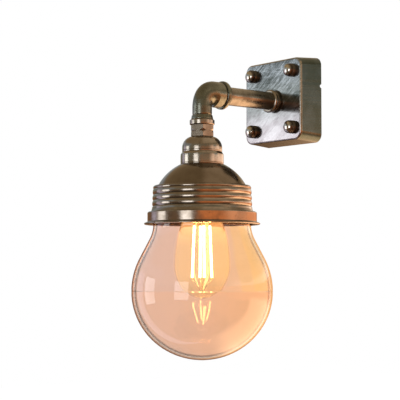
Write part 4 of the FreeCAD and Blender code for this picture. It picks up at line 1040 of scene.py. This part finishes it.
def model_globe():
    """Thick pressed globe: outer skin with its mould seam, rim, and inner skin."""
    rise = sizes().seam_rise / MM
    outer = globe_points(0)
    seam = [(GLOBE_RADIUS - rise * (1 - lift), EQUATOR_Z + height)
            for height, lift in ((-0.5, 0), (-0.25, 0.8), (0, 1), (0.25, 0.8), (0.5, 0))]
    outer[BOWL_STEPS:BOWL_STEPS + 1] = seam
    inner = globe_points(sizes().globe_wall / MM)[::-1]
    neck_outer = 51.0
    neck_inner = 47.8
    neck_z = -141.3
    rim_z = -123.5
    shelf_z = -141.5
    rim = [(GLOBE_NECK, -143.5), (55.0, -142.1), (53.6, shelf_z), (51.2, shelf_z),
           (neck_outer, neck_z), (neck_outer, rim_z - 0.8), (50.3, rim_z), (48.4, rim_z),
           (neck_inner, rim_z - 0.6), (neck_inner, neck_z), (52.4, -147.0)]
    piece = extruded_line("pressed_globe", beside_drop([*outer, *rim, *inner]))
    globe = spun(piece, DROP_AXIS, (0, 0, 1), 144)
    smooth(globe, math.radians(60))
    thread = screw_thread("globe_thread", neck_outer - 0.4, 53.3)
    combine(globe, thread, "UNION")
    return smooth(globe, math.radians(50))


def bulb_points(inset):
    """Half of the bulb's outline, from its bottom up to its neck."""
    lean = 22.5                 # degrees at which the side runs straight up to the neck
    radius = 32.0
    side = 138.8
    widest = -197.3
    neck = 11.9 - inset
    points = oval((0, widest), radius - inset, 38.0 - inset, -90, 0, 16)
    points += arc((radius - side, widest), side - inset, 1.5, lean, 12)
    end_r, end_z = points[-1]
    neck_z = end_z + (end_r - neck) / math.tan(math.radians(lean))
    return [*points, (neck, neck_z), (neck, -117.3)]


def model_bulb():
    """Blown envelope, and the screw cap with its helical thread."""
    outline = beside_drop([*bulb_points(0), *bulb_points(1.0)[::-1]])
    piece = extruded_line("bulb_envelope", outline)
    envelope = smooth(spun(piece, DROP_AXIS, (0, 0, 1), 96), math.radians(60))
    wave = []
    for k in range(9):
        radius = 12.8 - 0.3 * math.cos(math.tau * k / 8)
        wave.append(Vector((radius * MM, 0, BULB_LEAD * k / 8 * MM)))
    shell = extruded_line("bulb_screw_cap", wave)
    bpy.ops.object.mode_set(mode="OBJECT")
    in_place(shell)
    apply(shell, "SCREW", angle=math.tau, screw_offset=BULB_LEAD * MM, iterations=4, steps=64,
          render_steps=64, use_merge_vertices=True, axis="Z")
    shell.location = (0, DROP_Y, -118.3 * MM)
    weld(in_place(shell))
    apply(shell, "SOLIDIFY", thickness=0.3 * MM, offset=-1.0)
    sleeve = turned("cap_sleeve", [
        (12.05, -120.3), (12.5, -120.3, 0.1), (12.5, -116.5), (12.3, -116.2), (12.3, -101.6),
        (12.5, -98.2), (9.0, -95.5), (8.6, -95.9), (12.1, -98.5)], steps=64)
    cap = join([shell, sleeve])
    cap.name = "bulb_screw_cap"
    return envelope, smooth(cap, math.radians(40))


def rod(radius, depth, centre, turn):
    """A plain round rod turned from upright; all in metres."""
    deselect()
    bpy.ops.mesh.primitive_cylinder_add(vertices=20, radius=radius, depth=depth,
                                        location=centre, rotation=turn)
    return in_place(bpy.context.object)


def model_filaments():
    """One phosphor bar with its two metal tabs, copied round the drop axis."""
    top = Vector((9.0, 0, -150.83))
    foot = Vector((11.5, 0, -212.83))
    along = (foot - top).normalized()
    lean = Vector((0, 0, -1)).rotation_difference(along).to_euler()
    radius = sizes().filament_radius
    tab_length = 1.8
    bar_length = (foot - top).length - 3.0
    bar = rod(radius, bar_length * MM, (top + foot) / 2 * MM, lean)
    bar.name = "filament_bars"
    pick(bar, lambda f: abs(f.normal.z) > 0.9, "polygons", "FACE")
    bpy.ops.mesh.inset(thickness=radius * 0.25, use_individual=True)
    bpy.ops.object.mode_set(mode="OBJECT")
    tabs = []
    for centre in (top + along * tab_length / 2, foot - along * tab_length / 2):
        tab = rod(radius * 1.08, tab_length * MM, centre * MM, lean)
        apply(tab, "BEVEL", width=0.15 * MM, segments=2, limit_method="ANGLE")
        tabs.append(tab)
    tab = join(tabs)
    tab.name = "filament_tabs"
    for piece in (bar, tab):
        piece.location = DROP_AXIS
        piece.rotation_euler = (0, 0, math.radians(-27))
        edit(in_place(piece))
        bpy.ops.mesh.select_all(action="SELECT")
        bpy.ops.mesh.spin(steps=4, dupli=True, angle=math.tau, center=DROP_AXIS, axis=(0, 0, 1))
        weld(piece)
        smooth(piece)
    return bar, tab


def model_wire(name, points, bends):
    """A tube extruded along straight runs and spun round its bends; points in millimetres."""
    points = [Vector(p) * MM for p in points]
    along = (points[1] - points[0]).normalized()
    deselect()
    turn = Vector((0, 0, 1)).rotation_difference(along).to_euler()
    bpy.ops.mesh.primitive_circle_add(vertices=16, radius=sizes().wire_radius, fill_type="NGON",
                                      location=points[0], rotation=turn)
    tube = bpy.context.object
    tube.name = name
    in_place(tube)
    edit(tube)
    bpy.ops.mesh.select_all(action="SELECT")
    here = points[0]
    for before, corner, after, bend in zip(points, points[1:], points[2:], bends):
        back = (before - corner).normalized()
        ahead = (after - corner).normalized()
        half = back.angle(ahead) / 2
        reach = bend * MM / math.tan(half)
        start = corner + back * reach
        bpy.ops.mesh.extrude_region_move(TRANSFORM_OT_translate={"value": start - here})
        axis = back.cross(ahead).normalized()
        centre = corner + (back + ahead).normalized() * (bend * MM / math.sin(half))
        bpy.ops.mesh.spin(steps=8, angle=math.pi - 2 * half, center=centre, axis=axis)
        here = corner + ahead * reach
    bpy.ops.mesh.extrude_region_move(TRANSFORM_OT_translate={"value": points[-1] - here})
    weld(tube)
    return smooth(tube, math.radians(60))


def pair_points(side):
    """Live and neutral lie beside each other, from the block to their terminals; side is -1 or 1."""
    way = 6 * side
    pipe = 1.5 * side
    terminal = TERMINAL_AT * side
    return [(way, WIRE_Y, -31), (way, WIRE_Y, -22.5), (pipe, WIRE_Y, 0), (pipe, DROP, 0),
            (pipe, DROP, PART_Z), (terminal, DROP, APART_Z), (terminal, DROP, TERMINAL_Z)]


def earth_points():
    """Earth lies above the pair, from its tag to the terminal at the back."""
    over = 2.2
    tag_y = WIRE_Y - 0.1
    return [(0, tag_y, 25.4), (0, tag_y, over), (0, DROP - over, over), (0, DROP - over, PART_Z),
            (0, DROP - TERMINAL_AT, APART_Z), (0, DROP - TERMINAL_AT, TERMINAL_Z)]


# ---- operators -------------------------------------------------------------------------------
class WallLightOperator:
    """What the operators of this light have in common."""
    bl_options = {"REGISTER", "UNDO"}


class WALLLIGHT_OT_box(WallLightOperator, bpy.types.Operator):
    """Model the wall box and its four fixings"""
    bl_idname = "walllight.box"
    bl_label = "Wall box and fixings"

    def execute(self, context):
        settle(model_wall_box(), box_metal(), "plate_metal", "fixture", "wall_plate")
        washers, caps = model_fixings()
        dull = patinated_metal("fixing_metal", (0.12, 0.11, 0.09), (0.04, 0.035, 0.028), 0.3)
        settle(washers, dull, "pewter", "fixture", "screw_washers")
        settle(caps, cap_metal(), "pewter", "fixture", "screw_caps")
        return {"FINISHED"}


class WALLLIGHT_OT_arm(WallLightOperator, bpy.types.Operator):
    """Model the pipe arm and the collar where it meets the box"""
    bl_idname = "walllight.arm"
    bl_label = "Arm and collar"

    def execute(self, context):
        pipe, collar = model_arm()
        steel = patinated_metal("pipe_metal", (0.24, 0.235, 0.205), (0.10, 0.088, 0.068), 0.25,
                                stain=0.55)
        bright = patinated_metal("collar_metal", (0.27, 0.25, 0.21), (0.09, 0.075, 0.055), 0.22)
        settle(pipe, steel, "pewter", "fixture", "arm_pipe")
        settle(collar, bright, "pewter", "fixture", "arm_collar")
        return {"FINISHED"}


class WALLLIGHT_OT_elbow(WallLightOperator, bpy.types.Operator):
    """Model the cast elbow"""
    bl_idname = "walllight.elbow"
    bl_label = "Cast elbow"

    def execute(self, context):
        finish = patinated_metal("elbow_metal", (0.168, 0.183, 0.153), (0.075, 0.077, 0.060), 0.26,
                                 grain=1.3, stain=0.55)
        settle(model_elbow(), finish, "pewter", "fixture", "elbow")
        return {"FINISHED"}


class WALLLIGHT_OT_drop(WallLightOperator, bpy.types.Operator):
    """Model the collar and the two locknuts under the elbow"""
    bl_idname = "walllight.drop"
    bl_label = "Collar and locknuts"

    def execute(self, context):
        bright = patinated_metal("drop_metal", (0.30, 0.28, 0.245), colours().tarnish, 0.17)
        nut_metal = patinated_metal("nut_metal", (0.28, 0.26, 0.225), (0.09, 0.075, 0.055), 0.26,
                                    grain=0.1, stain=0.5)
        settle(model_drop_collar(), bright, "pewter", "fixture", "drop_collar")
        for name, node in (("locknut_above", "upper_locknut"), ("locknut_below", "lower_locknut")):
            nut = model_locknut(name, node, node == "upper_locknut")
            settle(nut, nut_metal, "pewter", "fixture", node)
        return {"FINISHED"}


class WALLLIGHT_OT_holder(WallLightOperator, bpy.types.Operator):
    """Model the lampholder's domed cap and its ring"""
    bl_idname = "walllight.holder"
    bl_label = "Lampholder cap and ring"

    def execute(self, context):
        finish = patinated_metal("holder_metal", (0.29, 0.27, 0.235), colours().tarnish, 0.15)
        settle(model_holder_cap(), finish, "pewter", "fixture", "holder_cap")
        settle(model_holder_ring(), finish, "pewter", "fixture", "holder_ring")
        return {"FINISHED"}


class WALLLIGHT_OT_gallery(WallLightOperator, bpy.types.Operator):
    """Model the ribbed gallery that holds the globe"""
    bl_idname = "walllight.gallery"
    bl_label = "Ribbed gallery"

    def execute(self, context):
        look = colours()
        finish = patinated_metal("gallery_metal", look.pewter, look.tarnish, 0.15, stain=0.45,
                                 groove=(55.3, 56.0))
        gallery, thread = model_gallery()
        settle(gallery, finish, "pewter", "fixture", "gallery")
        settle(thread, finish, "pewter", "fixture")
        return {"FINISHED"}


class WALLLIGHT_OT_globe(WallLightOperator, bpy.types.Operator):
    """Model the pressed glass globe"""
    bl_idname = "walllight.globe"
    bl_label = "Glass globe"

    def execute(self, context):
        settle(model_globe(), globe_glass(), "globe_glass", "globe", "glass_globe")
        return {"FINISHED"}


class WALLLIGHT_OT_bulb(WallLightOperator, bpy.types.Operator):
    """Model the bulb, its screw cap and its filaments"""
    bl_idname = "walllight.bulb"
    bl_label = "Filament bulb"

    def execute(self, context):
        envelope, cap = model_bulb()
        brass = plain_metal("bulb_cap_brass", (0.80, 0.62, 0.34), (0.62, 0.45, 0.22), 0.25)
        settle(envelope, bulb_glass(), "bulb_glass", "bulb", "bulb_glass")
        settle(cap, brass, "plain_brass", "bulb", "bulb_cap")
        bars, tabs = model_filaments()
        settle(bars, filament_glow(), "filament", "bulb", "bulb_filaments")
        steel = plain_metal("filament_tab_metal", (0.75, 0.7, 0.6), (0.55, 0.5, 0.42), 0.35)
        settle(tabs, steel, "lead_wire", "bulb")
        return {"FINISHED"}


class WALLLIGHT_OT_wiring(WallLightOperator, bpy.types.Operator):
    """Model the live, neutral and earth wires from the box to the lampholder"""
    bl_idname = "walllight.wiring"
    bl_label = "Wires"

    def execute(self, context):
        brown = plain_body("live_insulation", (0.20, 0.085, 0.035), (0.16, 0.065, 0.028), 0.4)
        blue = plain_body("neutral_insulation", (0.03, 0.11, 0.42), (0.025, 0.09, 0.34), 0.4)
        pair_bends = [4.5, 9.5, 14.0, 4.5, 4.5]
        earth_bends = [9.5, 16.2, 4.5, 4.5]
        live = model_wire("live_lead", pair_points(-1), pair_bends)
        settle(live, brown, "live_insulation", "fixture", "live_wire")
        neutral = model_wire("neutral_lead", pair_points(1), pair_bends)
        settle(neutral, blue, "neutral_insulation", "fixture", "neutral_wire")
        earth = model_wire("earth_lead", earth_points(), earth_bends)
        settle(earth, earth_insulation(), "earth_insulation", "fixture", "earth_wire")
        return {"FINISHED"}


class WALLLIGHT_OT_inside(WallLightOperator, bpy.types.Operator):
    """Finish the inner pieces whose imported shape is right"""
    bl_idname = "walllight.inside"
    bl_label = "Inner pieces"

    def execute(self, context):
        steel = plain_metal("zinc_plated_steel", (0.62, 0.62, 0.60), (0.46, 0.46, 0.45), 0.35)
        brass = plain_metal("bright_brass", (0.80, 0.62, 0.32), (0.64, 0.47, 0.22), 0.28)
        wire = plain_metal("bare_lead_wire", (0.70, 0.66, 0.60), (0.55, 0.5, 0.42), 0.3)
        porcelain = plain_body("glazed_porcelain", (0.86, 0.85, 0.80), (0.80, 0.78, 0.72), 0.16)
        glass = plain_body("black_glass", (0.012, 0.012, 0.012), (0.02, 0.02, 0.02), 0.12)
        rubber = plain_body("seal_rubber", (0.03, 0.03, 0.03), (0.045, 0.043, 0.04), 0.75)
        nylon = plain_body("block_nylon", (0.82, 0.80, 0.74), (0.74, 0.72, 0.66), 0.5)
        dress(steel, "wall_bracket", "box_screws", "arm_backnut", "drop_nipple", "cap_locknut",
              "shade_ring", "block_terminal_screws", "block_fixing_screw", "earth_screw",
              "holder_terminal_screws")
        dress(brass, "socket_shell", "centre_contact", "holder_rivets", "holder_terminals",
              "block_inserts", "bulb_contact", "earth_tag")
        dress(wire, "bulb_leads")
        dress(porcelain, "holder_body")
        dress(glass, "bulb_insulator")
        dress(rubber, "glass_gasket")
        dress(nylon, "terminal_block")
        dress(stem_glass(), "bulb_stem")
        return {"FINISHED"}


# ---- stage -----------------------------------------------------------------------------------
VIEW_AZIMUTH = 50.60            # of the camera round the drop axis, from -Y towards +X
CAMERA_DISTANCE = 1.470
CAMERA_HEIGHT = -0.216
CAMERA_PITCH = 3.63             # degrees upwards
CAMERA_PAN = 0.095              # degrees past the drop axis
CAMERA_ROLL = 0.03
FOCAL_LENGTH = 116.25
SOFT_BOX_DISTANCE = 2.0
FLOOR_Z = -1.45
WHITE = (1, 1, 1, 1)


def round_the_lamp(degrees, distance, height):
    """A place round the drop axis. Degrees are from the camera, positive to its right."""
    turn = math.radians(VIEW_AZIMUTH + degrees)
    return Vector((distance * math.sin(turn), DROP_Y - distance * math.cos(turn), height))


def add_camera():
    """Camera at the photograph's place and angle, with a slight roll."""
    place = round_the_lamp(0, CAMERA_DISTANCE, CAMERA_HEIGHT)
    pitch = math.radians(CAMERA_PITCH)
    yaw = math.radians(VIEW_AZIMUTH + CAMERA_PAN)
    roll = math.radians(CAMERA_ROLL)
    level = Vector((math.cos(yaw), math.sin(yaw), 0))
    ahead = Vector((-math.sin(yaw), math.cos(yaw), 0)) * math.cos(pitch)
    ahead.z = math.sin(pitch)
    upright = level.cross(ahead)
    right = level * math.cos(roll) + upright * math.sin(roll)
    up = upright * math.cos(roll) - level * math.sin(roll)
    lens = bpy.data.cameras.new("camera")
    lens.sensor_fit = "HORIZONTAL"
    lens.sensor_width = 36
    lens.lens = FOCAL_LENGTH
    lens.clip_end = 30
    camera = bpy.data.objects.new("camera", lens)
    turn = Matrix((right, up, -ahead)).transposed().to_4x4()
    camera.matrix_world = Matrix.Translation(place) @ turn
    bpy.context.scene.collection.objects.link(camera)
    bpy.context.scene.camera = camera


def add_soft_box(name, degrees, height, size, level, tint):
    """An area light whose face shines at a level, turned to the lamp and not seen through glass."""
    lamp = bpy.data.lights.new(name, "AREA")
    lamp.shape = "RECTANGLE"
    lamp.size, lamp.size_y = size
    lamp.energy = level * math.pi * size[0] * size[1]
    lamp.color = tint
    holder = bpy.data.objects.new(name, lamp)
    holder.location = round_the_lamp(degrees, SOFT_BOX_DISTANCE, height)
    aim = Vector((0, DROP_Y, height)) - holder.location
    holder.rotation_euler = aim.to_track_quat("-Z", "Y").to_euler()
    holder.visible_transmission = False
    bpy.context.scene.collection.objects.link(holder)


def ray_is(nodes, *kinds):
    """1 for rays of any of these kinds, as Light Path names them."""
    found = nodes.add("ShaderNodeLightPath", output=f"Is {kinds[0]} Ray")
    for kind in kinds[1:]:
        found = found.math("MAXIMUM", nodes.add("ShaderNodeLightPath", output=f"Is {kind} Ray"))
    return found


def add_world():
    """White to the eye, in reflections and through glass; half as bright as a light."""
    world = bpy.data.worlds.new("studio")
    bpy.context.scene.world = world
    world.use_nodes = True
    nodes = Nodes(world.node_tree)
    seen = ray_is(nodes, "Camera", "Glossy", "Transmission")
    back = nodes.add("ShaderNodeBackground", None,
                     {"Color": WHITE, "Strength": seen * 0.5 + 0.5})
    node = world.node_tree.nodes.new("ShaderNodeOutputWorld")
    world.node_tree.links.new(back.socket, node.inputs["Surface"])


def add_floor():
    """Plain pale floor of the room, well below the lamp; it keeps the lamp's shadow."""
    deselect()
    bpy.ops.mesh.primitive_plane_add(size=24, location=(0, DROP_Y, FLOOR_Z))
    floor = bpy.context.object
    floor.name = "floor"
    finish, nodes = new_finish("pale_floor")
    grain = nodes.noise(nodes.place(), 30, 3, 0.5)
    tint = nodes.mix(grain, (0.80, 0.80, 0.80), (0.82, 0.82, 0.82))
    shader = surface(nodes, base_color=tint, roughness=0.9)
    glow = shining(nodes, ray_is(nodes, "Camera") * 0.6)
    lit = nodes.add("ShaderNodeAddShader", None, {0: shader, 1: glow})
    white = shining(nodes, 1.0)
    shown(nodes, blend(nodes, ray_is(nodes, "Glossy", "Transmission"), lit, white))
    floor.data.materials.append(finish)


# Colours of the cards, with their levels: the ring from its foot to its roof, then its patches.
CARD_TONES = {
    "foot": (0.13, 0.095, 0.06), "low": (0.34, 0.17, 0.08), "middle": (0.40, 0.355, 0.25),
    "high": (0.52, 0.37, 0.21), "roof": (0.92, 0.68, 0.45),
    "left": (0.31, 0.35, 0.30), "left_high": (0.55, 0.58, 0.61), "lilac": (1.1, 1.0, 1.25),
    # orange, low_front and floor are painted reflections of the bulb's light on the room.
    "orange": (2.2, 0.80, 0.32), "orange_high": (2.7, 1.95, 1.5), "orange_top": (1.25, 0.80, 0.50),
    "green": (0.48, 0.54, 0.49), "low_front": (2.1, 0.60, 0.16), "floor": (4.2, 2.4, 1.35),
}


def add_cards():
    """Cards round the set that only the metal's gloss reflects: brown, with warm patches at the right
    and low in front that paint the bulb's light on the room into reflections.

    Places on them are degrees round the lamp from the camera, positive to its right, and heights.
    """
    deselect()
    bpy.ops.mesh.primitive_cylinder_add(vertices=96, radius=2.4, depth=3.8, end_fill_type="NGON",
                                        location=(0, DROP_Y, 0.48))
    cards = bpy.context.object
    cards.name = "cards"
    in_place(cards)
    finish, nodes = new_finish("card")
    x, y, z = nodes.split(nodes.place(centre=(0, DROP_Y, 0)))
    view = math.radians(VIEW_AZIMUTH)
    ahead = x * math.sin(view) - y * math.cos(view)
    right = x * math.cos(view) + y * math.sin(view)
    turn = right.math("ARCTAN2", ahead) * (180 / math.pi)

    tones = CARD_TONES
    tone = nodes.mix(z.between(-0.9, -0.4), tones["foot"], tones["low"])
    tone = nodes.mix(z.between(0.02, 0.10), tone, tones["middle"])
    tone = nodes.mix(z.between(0.5, 1.6), tone, tones["high"])
    roof = z.between(1.2, 1.8) * right.between(-0.1, 0.35) * 0.8
    tone = nodes.mix(roof, tone, tones["roof"])

    left = (1 - turn.between(-76, -62)) * z.between(0.1, 0.3) * (1 - z.between(0.8, 1.3))
    grey = nodes.mix(z.between(0.34, 0.62), tones["left"], tones["left_high"])
    tone = nodes.mix(left, tone, grey)
    lilac = turn.between(-131, -127) * (1 - turn.between(-112, -108)) * (1 - z.between(0.3, 0.6))
    tone = nodes.mix(lilac, tone, tones["lilac"])

    # Painted reflection: the wall at the right, lit orange by the bulb.
    orange = nodes.mix(z.between(0.03, 0.14), tones["orange"], tones["orange_high"])
    orange = nodes.mix(z.between(0.24, 0.5), orange, tones["orange_top"])
    beside = turn.between(34, 66) * (1 - turn.between(140, 172))
    beside = beside * (1 - z.between(0.5, 1.1)) * z.between(-0.9, -0.5)
    tone = nodes.mix(beside, tone, orange)
    green = turn.between(62, 72) * (1 - turn.between(86, 94)) * z.between(0.19, 0.29)
    tone = nodes.mix(green * (1 - z.between(0.5, 0.9)), tone, tones["green"])

    # Painted reflection: the bulb's warm glow, low in front.
    low_front = turn.between(-18, 0) * (1 - turn.between(38, 66))
    low_front = low_front * z.between(-0.5, -0.12, 0.35, 1.0) * (1 - z.between(0.0, 0.10))
    tone = nodes.mix(low_front, tone, tones["low_front"])
    # Painted reflection: the floor low at the right, lit by the bulb.
    floor = right.between(0.1, 0.7) * (1 - ahead.between(0.0, 0.5)) * (1 - z.between(-0.7, -0.35))
    tone = nodes.mix(floor, tone, tones["floor"])
    shown(nodes, shining(nodes, 1.0, tone))
    cards.data.materials.append(finish)
    for ray in ("camera", "diffuse", "transmission", "volume_scatter", "shadow"):
        setattr(cards, f"visible_{ray}", False)


class WALLLIGHT_OT_stage(WallLightOperator, bpy.types.Operator):
    """Set the camera, the floor, the soft light and the white background"""
    bl_idname = "walllight.stage"
    bl_label = "Stage"

    def execute(self, context):
        context.scene.view_settings.view_transform = "Standard"
        add_camera()
        add_world()
        add_floor()
        add_cards()
        add_soft_box("soft_box_side", -93.0, -0.23, (0.78, 1.04), 3.5, (0.97, 0.97, 1.0))
        add_soft_box("soft_box_front", -33.0, -0.19, (0.80, 0.98), 4.2, (0.98, 0.97, 1.0))
        return {"FINISHED"}


PIECE_OPERATORS = (WALLLIGHT_OT_box, WALLLIGHT_OT_arm, WALLLIGHT_OT_elbow, WALLLIGHT_OT_drop,
                   WALLLIGHT_OT_holder, WALLLIGHT_OT_gallery, WALLLIGHT_OT_globe, WALLLIGHT_OT_bulb,
                   WALLLIGHT_OT_wiring, WALLLIGHT_OT_inside, WALLLIGHT_OT_stage)


class WALLLIGHT_PT_panel(bpy.types.Panel):
    """Lists the pieces of the light, in the order that they are made"""
    bl_idname = "WALLLIGHT_PT_panel"
    bl_label = "Wall light"
    bl_space_type = "VIEW_3D"
    bl_region_type = "UI"
    bl_category = "Wall light"

    def draw(self, context):
        for operator in PIECE_OPERATORS:
            self.layout.operator(operator.bl_idname)
        for group in (context.scene.wall_light_sizes, context.scene.wall_light_colours):
            for name in group.__annotations__:
                self.layout.prop(group, name)


CLASSES = (WallLightSizes, WallLightColours, *PIECE_OPERATORS, WALLLIGHT_PT_panel)


def register():
    for cls in CLASSES:
        bpy.utils.register_class(cls)
    bpy.types.Scene.wall_light_sizes = PointerProperty(type=WallLightSizes)
    bpy.types.Scene.wall_light_colours = PointerProperty(type=WallLightColours)


def unregister():
    del bpy.types.Scene.wall_light_colours
    del bpy.types.Scene.wall_light_sizes
    for cls in reversed(CLASSES):
        bpy.utils.unregister_class(cls)


def main():
    register()
    for operator in PIECE_OPERATORS:
        group, name = operator.bl_idname.split(".")
        getattr(getattr(bpy.ops, group), name)()


if __name__ == "__main__":
    main()
